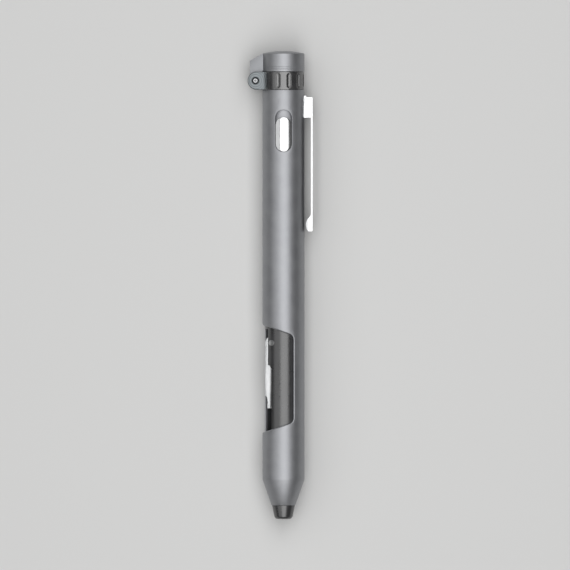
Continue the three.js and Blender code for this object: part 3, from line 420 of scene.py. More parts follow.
def tinted(tree, value, first, second):
    """A colour that runs between two with a grey pattern."""
    mix = tree.nodes.new("ShaderNodeMix")
    mix.data_type = "RGBA"
    return fed(tree, mix, Factor=value, A=(*first, 1), B=(*second, 1)).outputs["Result"]


def raised(tree, height, strength, depth):
    """The shading of a fine relief, its depth in millimetres."""
    return add(tree, "Bump", Height=height, Strength=strength, Distance=depth * mm).outputs["Normal"]


def metal(name, dark, light, rough, smooth, grain, grain_depth, wear_frequency=250):
    """Metal with a fine grain, drawn out by grain's (x, y, z) scale, and uneven wear."""
    made, tree, shader = new_material(name)
    fine = stretched_noise(tree, grain, grain_frequency, grain_detail)
    wear = stretched_noise(tree, unstretched, wear_frequency, wear_detail)
    scratches = ranged(tree, fine, 0, (rough - smooth) / 2)
    rubbing = ranged(tree, wear, smooth, (rough + smooth) / 2)
    fed(tree, shader, Metallic=1, Base_Color=tinted(tree, ranged(tree, wear, 0, 1), dark, light))
    fed(tree, shader, Roughness=reckoned(tree, "ADD", scratches, rubbing))
    fed(tree, shader, Normal=raised(tree, fine, grain_strength, grain_depth))
    return made


satin_aluminium = metal(
    "satin_aluminium", dark=(0.315, 0.32, 0.335), light=(0.355, 0.36, 0.375),
    rough=0.54, smooth=0.46, grain=(0.6, 6, 0.6), grain_depth=0.014,
)
barrel_bm = bmesh.new()
outer_row_count = round((barrel_top - cone_top) / row_spacing)
outer_rows = spread(cone_top + barrel_edge, barrel_top - barrel_edge, outer_row_count)
inner_row_count = round((ring_groove[0] - bore_floor) / row_spacing)
inner_rows = spread(bore_floor, ring_groove[0], inner_row_count)
outer_loops = [window_loop(barrel_radius, window_edge), slot_loop(barrel_radius, slot_edge)]
inner_loops = [window_loop(bore_radius, 0), slot_loop(bore_radius, 0)]
pierced_tube(barrel_bm, barrel_radius, outer_rows, outer_loops + [seat_loop(barrel_radius)])
pierced_tube(barrel_bm, bore_radius, inner_rows, inner_loops)
opening_wall(barrel_bm, window_loop, window_edge)
opening_wall(barrel_bm, slot_loop, slot_edge)
seat_border = [on_pen(barrel_radius, angle, y) for angle, y in seat_loop(barrel_radius)]
seat_rim = [barrel_bm.verts.new(point) for point in seat_border]
seat_face = [barrel_bm.verts.new((seat_flat, point.y, point.z)) for point in seat_border]
join_rings(barrel_bm, seat_rim, seat_face)
barrel_bm.faces.new(seat_face)
cone_slope = (barrel_radius - cone_foot_radius) / (cone_top - cone_foot)
barrel_break = barrel_edge * broken_share
cone_profile = [
    (barrel_radius, outer_rows[0]),
    (barrel_radius - cone_slope * barrel_edge, cone_top - barrel_edge),
    (cone_foot_radius + cone_slope * barrel_edge, cone_foot + barrel_edge),
    (cone_foot_radius - barrel_break, cone_foot + barrel_break),
    (cone_foot_radius - barrel_edge, cone_foot),
    (nose_socket_radius, cone_foot),
    (nose_socket_radius, nose_socket_top),
    (passage_radius, nose_socket_top),
    (passage_radius, bore_floor),
    (bore_radius, inner_rows[0]),
]
rim_profile = [
    (barrel_radius, outer_rows[-1]),
    (barrel_radius - barrel_break, barrel_top - barrel_break),
    (barrel_radius - barrel_edge, barrel_top),
    (bore_radius, barrel_top),
    (bore_radius, ring_groove[1]),
    (ring_groove_radius, ring_groove[1]),
    (ring_groove_radius, ring_groove[0]),
    (bore_radius, inner_rows[-1]),
]
lathe_rings(barrel_bm, cone_profile, turn_steps, seam_angle)
lathe_rings(barrel_bm, rim_profile, turn_steps, seam_angle)
finished("barrel_tube", settled(barrel_bm), satin_aluminium, "barrel", ["barrel"])

# Nose tip: black plastic, turned to the barrel's taper and pressed into its end. Its lower edge
# is round, and the point comes out through a bore in it.
tip_foot_radius = 2.76
tip_rounding = 1.1
tip_top_radius = 3.78
tip_top_rounding = 0.06
tip_seam = 0.02
tip_bore = 1.0
tip_bore_top = 1.2
tip_bore_taper = 0.5
tip_bore_rounding = 0.15
spigot_radius = 2.7
spigot_top = 10.0
spigot_rounding = 0.2
lathe_steps = 128
skin_frequency = 2600
skin_detail = 3
skin_strength = 0.35
gloss_frequency = 300
gloss_detail = 4
worn_share = 1.35
worn_grey = 0.002


def plastic(name, colour, rough, smooth, texture_depth, specular, ior=1.6):
    """Moulded plastic with a fine skin and slightly uneven gloss."""
    made, tree, shader = new_material(name)
    skin = stretched_noise(tree, unstretched, skin_frequency, skin_detail)
    gloss = stretched_noise(tree, unstretched, gloss_frequency, gloss_detail)
    worn = tuple(worn_share * value + worn_grey for value in colour)
    fed(tree, shader, Specular_IOR_Level=specular, IOR=ior)
    fed(tree, shader, Base_Color=tinted(tree, ranged(tree, gloss, 0, 1), colour, worn))
    fed(tree, shader, Roughness=ranged(tree, gloss, smooth, rough))
    fed(tree, shader, Normal=raised(tree, skin, skin_strength, texture_depth))
    return made


def lathe(profile, steps=lathe_steps):
    """A closed profile of (radius, y) corners turned into a solid."""
    bm = bmesh.new()
    rings = lathe_rings(bm, profile, steps)
    if len(rings[0]) > 1:
        join_rings(bm, rings[-1], rings[0])
    return settled(bm)


def soft_lathe(corners, steps=lathe_steps):
    """A turned solid whose (radius, y, rounding) corners are rounded."""
    return lathe([tuple(point) for point in rounded(corners)], steps)


black_gloss = plastic(
    "black_gloss", (0.010, 0.010, 0.011), rough=0.33, smooth=0.25, texture_depth=0.0045, specular=1.0
)
nose_bm = soft_lathe(
    [
        (tip_bore, 0, tip_bore_rounding),
        (tip_foot_radius, 0, tip_rounding),
        (tip_top_radius - barrel_edge / 2, cone_foot - tip_seam, tip_top_rounding),
        (spigot_radius, cone_foot - tip_seam, 0),
        (spigot_radius, spigot_top, spigot_rounding),
        (passage_radius, spigot_top, 0),
        (passage_radius, tip_bore_top + tip_bore_taper, 0),
        (tip_bore, tip_bore_top, 0),
    ]
)
finished("nose_tip_moulding", nose_bm, black_gloss, "barrel", ["nose_tip"])

# Tool core: a black moulding pushed down the barrel, with a passage for the refill, the bay that
# the tools fold into and a relief where a fingernail reaches them. The mould is polished outside.
# Inside the bay it is textured, and a darker, duller black there is painted shade for the deep bay.
core_radius = 5.75
core_top = 66.0
core_foot_rounding = 0.3
core_top_rounding = 0.1
core_passage = 1.4
core_pocket_radius = 2.0
core_pocket_floor = 61.25
bay_low = 27.5
bay_high = 60.9
bay_floor = 1.75
bay_margin = 1
skin_margin = 0.1
relief_reach = 3.85
relief_high = 49.5
relief_rounding = 1.5
pivot = Vector((-3.9, 56.5, 0))
pin_radius = 0.9
fit = 0.05
overrun = 2
past = barrel_radius + overrun
circle_steps = 48
plate_edge_steps = 2
rim_angle = math.radians(50)


def plate(outline, low, high, soft=0.0):
    """An outline of (x, y) points given thickness along z, its face edges rounded."""
    bm = bmesh.new()
    outline = [Vector(point) for point in outline]
    lower = [bm.verts.new((x, y, low)) for x, y in outline]
    upper = [bm.verts.new((x, y, high)) for x, y in outline]
    join_rings(bm, lower, upper)
    bm.faces.new(lower)
    bm.faces.new(upper)
    settled(bm)
    if soft:
        rims = [edge for edge in bm.edges if edge.is_manifold and edge.calc_face_angle() > rim_angle]
        bmesh.ops.bevel(
            bm, geom=rims, offset=soft, affect="EDGES",
            segments=plate_edge_steps, profile=0.5, clamp_overlap=True,
        )
    return settled(bm)


def box_plate(left, right, low, high, back, front, soft=0.0):
    """A block between two x, two y and two z values."""
    return plate([(left, low), (right, low), (right, high), (left, high)], back, front, soft)


def circle(x, y, radius, steps=circle_steps):
    """A round outline."""
    angles = spread(0, 2 * math.pi, steps)[:-1]
    return [(x + radius * math.cos(angle), y + radius * math.sin(angle)) for angle in angles]


def drill(x, y, pin, steps=circle_steps):
    """A cutter for the hole of a pin that lies right across the pen, with its running fit."""
    return plate(circle(x, y, pin + fit, steps), -past, past)


def combined(first, second, operation):
    """Two solids joined, cut or intersected into one."""
    made = []
    for bm in (first, second):
        mesh = bpy.data.meshes.new("working_mesh")
        bm.to_mesh(mesh)
        bm.free()
        made.append(bpy.data.objects.new("working_piece", mesh))
        scene.collection.objects.link(made[-1])
    modifier = made[0].modifiers.new("combined", "BOOLEAN")
    modifier.operation = operation
    modifier.solver = "EXACT"
    modifier.object = made[1]
    result = bmesh.new()
    result.from_object(made[0], bpy.context.evaluated_depsgraph_get())
    for piece in made:
        bpy.data.objects.remove(piece)
    return settled(result)


def cut(bm, *cutters):
    """A solid with others taken out of it."""
    for cutter in cutters:
        bm = combined(bm, cutter, "DIFFERENCE")
    return bm


def joined(bm, *others):
    """Solids made one."""
    for other in others:
        bm = combined(bm, other, "UNION")
    return bm


# A darker, duller black with a textured skin. Where it lines the tool bay, its darkness is painted shade for
# the recess.
textured_black_and_bay_shade = plastic(
    "textured_black_and_bay_shade", (0.006, 0.006, 0.007), rough=0.85, smooth=0.7, texture_depth=0.012, specular=0.25
)
core_bm = soft_lathe(
    [
        (core_passage, bore_floor, 0),
        (core_radius, bore_floor, core_foot_rounding),
        (core_radius, core_top, core_top_rounding),
        (core_pocket_radius, core_top, 0),
        (core_pocket_radius, core_pocket_floor, 0),
        (core_passage, core_pocket_floor, 0),
    ]
)
relief = [
    (-past, bay_low, 0),
    (-relief_reach, bay_low, 0),
    (-relief_reach, relief_high, relief_rounding),
    (-past, relief_high, 0),
]
core_bm = cut(
    core_bm,
    box_plate(-past, -bay_floor, bay_low, bay_high, -window_depth, window_depth),
    plate(rounded(relief), 0, past),
    drill(pivot.x, pivot.y, pin_radius),
)
core = finished("tool_core_moulding", core_bm, black_gloss, "barrel", ["tool_core"])
# The faces inside the bay take the darker, duller black: painted shade for the recess, over a real textured
# skin.
core.data.materials.append(textured_black_and_bay_shade)
for face in core.data.polygons:
    middle = face.center / mm
    within = math.hypot(middle.x, middle.z) < core_radius - skin_margin
    if within and bay_low - bay_margin < middle.y < bay_high + bay_margin:
        face.material_index = 1

# Tool pivot: a steel pin across the core, its ends ground to the round of the core, with a brass
# washer each side of the driver.
pin_below = 0.02
washer_radius = 1.8
washer_inner = 1.35
washer_thickness = 0.3
washer_edge = 0.04
satin_steel = metal(
    "satin_steel", dark=(0.50, 0.505, 0.51), light=(0.58, 0.585, 0.59),
    rough=0.34, smooth=0.24, grain=(0.5, 7, 0.5), grain_depth=0.004,
)
brass = metal(
    "turned_brass", dark=(0.58, 0.40, 0.16), light=(0.70, 0.50, 0.22),
    rough=0.34, smooth=0.22, grain=(1, 5, 1), grain_depth=0.004,
)
pin_bm = plate(circle(pivot.x, pivot.y, pin_radius), -core_radius, core_radius)
pin_round = lathe(
    [
        (0, pivot.y - overrun),
        (core_radius - pin_below, pivot.y - overrun),
        (core_radius - pin_below, pivot.y + overrun),
        (0, pivot.y + overrun),
    ]
)
pin_bm = combined(pin_bm, pin_round, "INTERSECT")
finished("tool_pin_ground", pin_bm, satin_steel, "barrel", ["tool_pin"], pivot)
for side, node in ((1, "tool_washer_front"), (-1, "tool_washer_back")):
    near, far = sorted((side * washer_inner, side * (washer_inner + washer_thickness)))
    disc = plate(circle(pivot.x, pivot.y, washer_radius), near, far, washer_edge)
    disc = cut(disc, drill(pivot.x, pivot.y, pin_radius))
    finished(node + "_ring", disc, brass, "barrel", [node], pivot)

# Knife: a drop-point blade stamped from steel strip, its edge ground from both faces as far as
# the ricasso, with a nick for a fingernail pressed into it beside the spine.
tool_length = 21.0
tool_rounding = 0.05
heel_radius = 2.0
heel_steps = 24
edge_reach = 1.9
spine_reach = 2.05
plate_inner = 1.7
plate_outer = 2.7
belly_start_share = 0.6
belly_pull_share = 0.92
belly_steps = 20
point_share = 0.35
spine_share = 0.68
blade_ricasso = 5.0
blade_bevel = 2.3
blade_edge_half = 0.06
nick_inset = 0.5
nick_low = 10.0
nick_width = 0.6
nick_depth = 0.3
nick_rounding = 0.28


def heel():
    """The round end that every tool turns on, from its spine to its cutting side."""
    start = math.pi - math.acos(heel_radius / spine_reach)
    end = -math.acos(edge_reach / heel_radius)
    return [(heel_radius * math.cos(a), heel_radius * math.sin(a)) for a in spread(start, end, heel_steps)]


def swept(first, towards, last, steps):
    """Points on a curve from one corner to another, drawn towards a third."""
    first, towards, last = Vector(first), Vector(towards), Vector(last)
    return [first * (1 - t) ** 2 + towards * 2 * t * (1 - t) + last * t**2 for t in spread(0, 1, steps)]


def from_pivot(outline):
    """An outline drawn round a tool's pivot, moved to its place on the pen."""
    return [Vector(point) + pivot.xy for point in outline]


def turned_to(kind, bm):
    """A plate laid out in other axes: its outline in y and z along x, or in x and -z along y."""
    rows = {"x": ((0, 0, 1), (1, 0, 0), (0, 1, 0)), "y": ((1, 0, 0), (0, 0, 1), (0, -1, 0))}[kind]
    bmesh.ops.transform(bm, matrix=Matrix(rows).to_4x4(), verts=bm.verts)
    return bm


blade_steel = metal(
    "ground_steel", dark=(0.34, 0.345, 0.35), light=(0.43, 0.435, 0.44),
    rough=0.38, smooth=0.26, grain=(7, 0.5, 1), grain_depth=0.006,
)
belly = swept(
    (edge_reach, -tool_length * belly_start_share),
    (edge_reach, -tool_length * belly_pull_share),
    (-spine_reach * point_share, -tool_length),
    belly_steps,
)
spine = [(-spine_reach, -tool_length * spine_share), (-spine_reach, -heel_radius / 2)]
knife_bm = plate(from_pivot(heel() + belly + spine), plate_inner, plate_outer, tool_rounding)
plate_middle = (plate_inner + plate_outer) / 2
plate_half = (plate_outer - plate_inner) / 2
grind_edge = pivot.x + edge_reach
grind_start = grind_edge - blade_bevel
for side in (1, -1):
    ground = [
        (grind_start, -plate_middle + side * plate_half),
        (grind_edge, -plate_middle + side * blade_edge_half),
        (grind_edge + overrun, -plate_middle + side * blade_edge_half),
        (grind_edge + overrun, -plate_middle + side * overrun),
        (grind_start, -plate_middle + side * overrun),
    ]
    wheel = turned_to("y", plate(ground, pivot.y - tool_length - overrun, pivot.y - blade_ricasso))
    knife_bm = cut(knife_bm, wheel)
nick_left = pivot.x - spine_reach + nick_inset
nick = [
    (nick_left, pivot.y - nick_low, nick_rounding),
    (nick_left + nick_width, pivot.y - nick_low, nick_rounding),
    (nick_left + nick_width, pivot.y - blade_ricasso, nick_rounding),
    (nick_left, pivot.y - blade_ricasso, nick_rounding),
]
knife_bm = cut(knife_bm, plate(rounded(nick), plate_outer - nick_depth, past))
knife_bm = cut(knife_bm, drill(pivot.x, pivot.y, pin_radius))
finished("knife_blade", knife_bm, blade_steel, "knife", ["knife"], pivot)

# Nail file: a steel strip with slanting teeth cut across its outer face, whose end is ground down
# to a flat screwdriver.
file_corner = 0.4
file_tip_length = 3.4
file_tip_half_width = 1.25
file_tip_half_thickness = 0.28
tooth_pitch = 0.45
tooth_depth = 0.1
tooth_overlap = 0.02
tooth_lean = 0.25
teeth_start = 5.5
teeth_short = 1.5
teeth_inset = 0.35
shoulder = -tool_length + file_tip_length
file_outline = heel() + rounded(
    [
        (edge_reach, shoulder + edge_reach - file_tip_half_width, file_corner),
        (file_tip_half_width, shoulder, file_corner),
        (file_tip_half_width, -tool_length, 0),
        (-file_tip_half_width, -tool_length, 0),
        (-file_tip_half_width, shoulder, file_corner),
        (-spine_reach, shoulder + spine_reach - file_tip_half_width, file_corner),
        (-spine_reach, -heel_radius / 2, 0),
    ]
)
file_bm = plate(from_pivot(file_outline), -plate_outer, -plate_inner, tool_rounding)
for side in (-1, 1):
    wedge = [
        (pivot.y + shoulder, -plate_middle + side * plate_half),
        (pivot.y - tool_length, -plate_middle + side * file_tip_half_thickness),
        (pivot.y - tool_length - overrun, -plate_middle + side * file_tip_half_thickness),
        (pivot.y - tool_length - overrun, -plate_middle + side * overrun),
        (pivot.y + shoulder, -plate_middle + side * overrun),
    ]
    file_bm = cut(file_bm, turned_to("x", plate(wedge, -past, past)))
teeth_bm = bmesh.new()
tooth_corners = ((-tooth_depth, -tooth_overlap), (tooth_depth, -tooth_overlap), (0, tooth_depth))
tooth_y = pivot.y - teeth_start
while tooth_y > pivot.y + shoulder + teeth_short:
    ends = []
    for x in (teeth_inset - spine_reach, edge_reach - teeth_inset):
        middle = tooth_y + tooth_lean * x
        corners = [(pivot.x + x, middle + y, z - plate_outer) for y, z in tooth_corners]
        ends.append([teeth_bm.verts.new(corner) for corner in corners])
    join_rows(teeth_bm, ends)
    for end in ends:
        teeth_bm.faces.new(end)
    tooth_y -= tooth_pitch
file_bm = cut(file_bm, settled(teeth_bm), drill(pivot.x, pivot.y, pin_radius))
finished("nail_file_strip", file_bm, blade_steel, "file", ["nail_file"], pivot)

# Driver: a round steel shank forged on a disc heel, which turns on the pin between the washers.
# Its point is milled with four round flutes for a cross-headed screw.
driver_half = 1.3
driver_edge = 0.08
shank_radius = 1.2
shank_rounding = 0.3
shank_steps = 48
point_radius = 0.45
point_rounding = 0.05
point_length = 1.9
flute_length = 2.6
flute_radius = 0.62
flute_offset = 0.92
flute_steps = 24
driver_bm = plate(circle(0, 0, heel_radius), -driver_half, driver_half, driver_edge)
shank = soft_lathe(
    [
        (0, -tool_length, 0),
        (point_radius, -tool_length, point_rounding),
        (shank_radius, point_length - tool_length, shank_rounding),
        (shank_radius, 0, 0),
        (0, 0, 0),
    ],
    shank_steps,
)
driver_bm = joined(driver_bm, shank)
flute = [
    (0, -tool_length - overrun),
    (flute_radius, -tool_length - overrun),
    (flute_radius, flute_length - tool_length),
    (0, flute_length - tool_length + flute_radius),
]
for x, z in ((1, 1), (1, -1), (-1, -1), (-1, 1)):
    milled = moved(lathe(flute, flute_steps), (x * flute_offset, 0, z * flute_offset))
    driver_bm = cut(driver_bm, milled)
driver_bm = moved(cut(driver_bm, drill(0, 0, pin_radius)), pivot)
finished("driver_shank", driver_bm, blade_steel, "driver", ["phillips_driver"], pivot)

# Refill and its carrier: a brass writing point plugged into the ink tube, and the black carrier
# whose cross pin is driven down by the cam.
refill_foot = 0.8
refill_radius = 1.175
refill_rounding = 0.08
ball_radius = 0.175
needle_radius = 0.35
needle_top = 2.8
nib_radius = 0.78
nib_low = 3.58
nib_top = 6.0
nib_rounding = 0.1
nib_steps = 64
collar_top = 7.2
plug_radius = 0.825
plug_top = 9.2
nib_bm = soft_lathe(
    [
        (0, 0, 0),
        (ball_radius, 0, nib_rounding),
        (needle_radius, needle_radius, nib_rounding),
        (needle_radius, needle_top, nib_rounding / 2),
        (nib_radius, nib_low, nib_rounding),
        (nib_radius, nib_top, nib_rounding / 2),
        (refill_radius, nib_top, refill_rounding),
        (refill_radius, collar_top, 0),
        (plug_radius, collar_top, 0),
        (plug_radius, plug_top, 0),
        (0, plug_top, 0),
    ],
    nib_steps,
)
finished("writing_point", moved(nib_bm, (0, refill_foot, 0)), brass, "refill", ["refill_tip"])


def dress(node, material):
    """A CAD piece that keeps its shape and takes a finish."""
    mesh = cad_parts[node].data
    mesh.materials.clear()
    mesh.materials.append(material)


dress("refill_tube", brass)
dress("refill_carrier", textured_black_and_bay_shade)
dress("carrier_pin", satin_steel)

# Twist action: the brass guide sleeve that keeps the pin straight, the cam tube that turns round
# it, the steel shaft from the head, and the wire ring that holds the head in the barrel.
dress("guide_sleeve", brass)
dress("cam_tube", brass)
dress("drive_shaft", satin_steel)
dress("retaining_ring", satin_steel)

# Light switch: a polished steel button that rides in the barrel's slot on two pegs, and behind it
# a curved alloy carrier that fills the slot and slides with it.
button_gap = 0.1
button_length = 11.0
button_half_width = 2.6
button_top = 7.4
button_under = 5.75
button_edge = 0.12
button_steps = 24
crown_across = 6.0
crown_along = 26.0
crown_steps = 10
side_drop_share = 0.9
brow_drop_share = 0.22
brow_inset_share = 0.28
peg_radius = 0.6
peg_spread = 3.2
peg_length = 0.7
peg_root = 0.4
peg_steps = 24
peg_hole_low = 5.0
carrier_inner = 4.8
carrier_radius = 5.7
carrier_low = 115.5
carrier_high = 131.3
carrier_half_angle = 0.62
carrier_steps = 40
flange_bore = 1.75
flange_low = 118.6
flange_high = 120.1
flange_steps = 96
polished_steel = metal(
    "polished_steel", dark=(0.60, 0.605, 0.615), light=(0.68, 0.685, 0.69),
    rough=0.22, smooth=0.14, grain=(1, 4, 1), grain_depth=0.002, wear_frequency=180,
)
button_middle = slot_low + button_gap + button_length / 2
button_straight = button_length / 2 - button_half_width


def button_ring(inset_share=0.0, drop_share=0.0):
    """One ring of the button below its crown, drawn in and dropped by shares of its edge."""
    half_width = button_half_width - button_edge * inset_share
    ring = []
    for end in (1, -1):
        for turn in spread(0, math.pi, button_steps):
            x = end * half_width * math.cos(turn)
            y = end * (button_straight + half_width * math.sin(turn))
            fall = crown_across - math.sqrt(crown_across**2 - x**2)
            fall += crown_along - math.sqrt(crown_along**2 - y**2)
            ring.append((x, button_middle + y, button_top - fall - button_edge * drop_share))
    return ring


button_rings = [
    [(x, y, button_under) for x, y, z in button_ring()],
    button_ring(0, side_drop_share),
    button_ring(brow_inset_share, brow_drop_share),
]
for share in spread(1, button_half_width / button_edge, crown_steps):
    button_rings.append(button_ring(share))
button_bm = bmesh.new()
button_rings = [[button_bm.verts.new(point) for point in ring] for ring in button_rings]
join_rows(button_bm, button_rings)
button_bm.faces.new(button_rings[0])
settled(button_bm)
pegs = [circle(0, button_middle + side * peg_spread, peg_radius, peg_steps) for side in (-1, 1)]
for peg in pegs:
    button_bm = joined(button_bm, plate(peg, button_under - peg_length, button_under + peg_root))
finished("switch_button_crowned", button_bm, polished_steel, "switch", ["switch_button"])

carrier_profile = [
    (carrier_inner, carrier_low),
    (carrier_radius, carrier_low),
    (carrier_radius, carrier_high),
    (carrier_inner, carrier_high),
]
carrier_angles = spread(-carrier_half_angle, carrier_half_angle, carrier_steps)
carrier_bm = bmesh.new()
carrier_rows = []
for radius, y in carrier_profile:
    carrier_rows.append([carrier_bm.verts.new(on_pen(radius, angle, y)) for angle in carrier_angles])
join_rows(carrier_bm, carrier_rows + carrier_rows[:1], closed=False)
carrier_bm.faces.new([row[0] for row in carrier_rows])
carrier_bm.faces.new([row[-1] for row in carrier_rows])
flange_profile = [
    (flange_bore, flange_low),
    (carrier_radius, flange_low),
    (carrier_radius, flange_high),
    (flange_bore, flange_high),
]
carrier_bm = joined(settled(carrier_bm), lathe(flange_profile, flange_steps))
for side in (-1, 1):
    hole = circle(0, button_middle + side * peg_spread, peg_radius + fit, peg_steps)
    carrier_bm = cut(carrier_bm, plate(hole, peg_hole_low, past))
finished("switch_carrier_plate", carrier_bm, satin_aluminium, "switch", ["switch_carrier"])
dress("switch_contact", brass)

# Clip bracket: a steel foot riveted to the barrel's flat between the clip's cheeks, with two lugs
# that hold the pin and the spring that the clip turns on.
foot_low = 128.65
foot_high = 135.75
foot_face = 7.36
foot_half_width = 1.4
foot_edge = 0.12
clip_half_width = 2.2
clip_pivot = Vector((8.0, 131.9, 0))
clip_pin_radius = 0.35
clip_pin_steps = 24
lug_radius = 0.64
lug_outer = 1.4
lug_inner = 0.78
lug_root = 0.5
lug_steps = 24
foot_bm = box_plate(seat_flat, foot_face, foot_low, foot_high, -foot_half_width, foot_half_width, foot_edge)
lug = [
    (clip_pivot.x + lug_radius * math.cos(turn), clip_pivot.y + lug_radius * math.sin(turn))
    for turn in spread(-math.pi / 2, math.pi / 2, lug_steps)
]
lug += [(seat_flat + lug_root, clip_pivot.y + side * lug_radius) for side in (1, -1)]
foot_bm = joined(foot_bm, plate(lug, lug_inner, lug_outer), plate(lug, -lug_outer, -lug_inner))
foot_bm = cut(foot_bm, drill(clip_pivot.x, clip_pivot.y, clip_pin_radius, clip_pin_steps))
finished("clip_foot_plate", foot_bm, polished_steel, "barrel", ["clip_bracket"], clip_pivot)
dress("clip_pin", satin_steel)
dress("clip_spring", satin_steel)

# Pocket clip: one polished steel strip, its end swept into a fin, with two cheeks folded down
# past the foot that hold the pin.
arm_outer = 9.36
arm_inner = 8.74
arm_top = 135.25
arm_low = 92.25
arm_edge = 0.08
fin_length = 5.3
fin_inward = 2.1
fin_crest = 2.5
fin_rounding = 3.1
fin_end_inward = 0.88
bend = 0.62
bend_steps = 12
cheek_length = 6.5
cheek_low = arm_top - cheek_length
cheek_gap = 0.1
cheek_inner = seat_flat + cheek_gap
cheek_near = 1.5
cheek_lap = 0.2
cheek_corner = 0.1
heel_relief = 0.36
heel_rise = 0.175
heel_rounding = 1.5
fin_outline = [
    (arm_inner, arm_low + fin_length, bend * 2),
    (arm_inner - fin_inward, arm_low + fin_crest, fin_rounding),
    (arm_inner - fin_end_inward, arm_low, bend / 2),
    (arm_outer, arm_low, bend / 2),
    (arm_outer, arm_top, bend / 2),
]
cheek_outline = [
    (cheek_inner + heel_relief, arm_top, bend / 3),
    (cheek_inner, clip_pivot.y + heel_rise, heel_rounding),
    (cheek_inner, cheek_low, bend / 2),
    (arm_inner, cheek_low, cheek_corner),
]
strip_outline = rounded(fin_outline + [(arm_inner, arm_top, 0)], bend_steps)
side_outline = rounded(fin_outline + cheek_outline, bend_steps)
arm_bm = plate(strip_outline, -cheek_near - cheek_lap, cheek_near + cheek_lap)
for near, far in ((cheek_near, clip_half_width), (-clip_half_width, -cheek_near)):
    arm_bm = joined(arm_bm, plate(side_outline, near, far, arm_edge))
arm_bm = cut(arm_bm, drill(clip_pivot.x, clip_pivot.y, clip_pin_radius, clip_pin_steps))
finished("clip_strip", arm_bm, polished_steel, "clip", ["clip_arm"], clip_pivot)

# Head collar: the black turning grip, moulded with a spigot that turns in the barrel and a ribbed
# band above the seam, whose upright hollows are scooped by a round-ended cutter.
head_low = 137.65
band_height = 5.75
band_high = head_low + band_height
band_radius = 6.6
band_edge = 0.14
band_steps = 44
collar_spigot = 4.0
collar_bore = 4.75
collar_steps = 480
torch_bore = 4.5
head_groove_radius = 5.4
scoop_count = 12
scoop_half = 0.75
scoop_half_height = 2.3
scoop_depth = 0.34
scoop_near_angle = 0.5
bare_half_angle = 0.7
pocket_reach = 5.25
pocket_half = 4.25
hinge_rise = 2.9
hinge_y = head_low + hinge_rise
hinge_x = -9.0
hinge = Vector((hinge_x, hinge_y, 0))
hinge_angle = 1.5 * math.pi
cutter_radius = (scoop_half**2 + scoop_depth**2) / (2 * scoop_depth)
cutter_centre = band_radius + cutter_radius - scoop_depth
cutter_straight = scoop_half_height - scoop_half
scoop_pitch = 2 * math.pi / scoop_count
scoop_angles = [scoop_pitch * (i + 0.5) for i in range(scoop_count)]
scooped = [a for a in scoop_angles if abs(a - hinge_angle) > bare_half_angle + scoop_pitch / 2]


def band_surface(angle, y):
    """How far the scooped band stands from the axis at an angle and a height."""
    beyond = max(0, abs(y - hinge_y) - cutter_straight)
    if beyond >= cutter_radius:
        return band_radius
    reach = math.sqrt(cutter_radius**2 - beyond**2)
    least = band_radius
    for scoop_angle in scooped:
        off = math.remainder(angle - scoop_angle, 2 * math.pi)
        across = cutter_centre * math.sin(off)
        if abs(off) < scoop_near_angle and abs(across) < reach:
            least = min(least, cutter_centre * math.cos(off) - math.sqrt(reach**2 - across**2))
    return least


black_band = plastic(
    "black_band", (0.012, 0.012, 0.013), rough=0.32, smooth=0.22, texture_depth=0.007, specular=1.0, ior=1.75
)
band_break = band_edge * broken_share
collar_profile = [
    (torch_bore, head_low),
    (collar_bore, head_low),
    (collar_bore, head_low - collar_spigot),
    (core_radius, head_low - collar_spigot),
    (core_radius, ring_groove[0]),
    (head_groove_radius, ring_groove[0]),
    (head_groove_radius, ring_groove[1]),
    (core_radius, ring_groove[1]),
    (core_radius, head_low),
    (band_radius - band_edge, head_low),
    (band_radius - band_break, head_low + band_break),
    *[(None, y) for y in spread(head_low + band_edge, band_high - band_edge, band_steps)],
    (band_radius - band_break, band_high - band_break),
    (band_radius - band_edge, band_high),
    (torch_bore, band_high),
]
collar_bm = bmesh.new()
collar_rings = []
for radius, y in collar_profile:
    ring = []
    for i in range(collar_steps):
        angle = 2 * math.pi * i / collar_steps
        reach = band_surface(angle, y) if radius is None else radius
        ring.append(collar_bm.verts.new(on_pen(reach, angle, y)))
    collar_rings.append(ring)
join_rows(collar_bm, collar_rings + collar_rings[:1])
pocket = box_plate(-past, -pocket_reach, head_low, band_high + overrun, -pocket_half, pocket_half)
collar_bm = cut(settled(collar_bm), pocket)
finished("head_collar_moulding", collar_bm, black_band, "head", ["head_collar"], crease=40)

# Hinge bracket: a steel block with two ears, seated in the collar's pocket, its faces turned in
# rings round the pin and bevelled down to the band. The pin is pressed in, and its dimpled heads
# lie in countersinks.
ear_half_depth = 4.2
ear_slot_half = 1.75
ear_reach = 8.65
ear_inner = 5.3
ear_radius = 2.85
ear_rounding = 0.9
ear_edge = 0.22
ear_edge_steps = 3
ear_nose_steps = 32
ear_flank_steps = 8
saddle_width = 0.8
sink_radius = 1.22
sink_depth = 0.46
bevel_from = -6.44
bevel_drop = 0.32
bevel_lip = 0.16
hinge_pin_radius = 0.75
hinge_pin_half = 4.15
hinge_pin_chamfer = 0.12
hinge_pin_steps = 48
dimple_radius = 0.36
dimple_depth = 0.25
dimple_side_share = 0.5
dimple_floor_share = 0.7
ring_pitch = 0.66
ring_depth = 0.02
ring_strength = 0.6
ring_wobble = 0.5
ring_detail = 3
ring_detail_scale = 2
fine_share = 0.22
ring_wear_frequency = 400
ring_wear_detail = 4


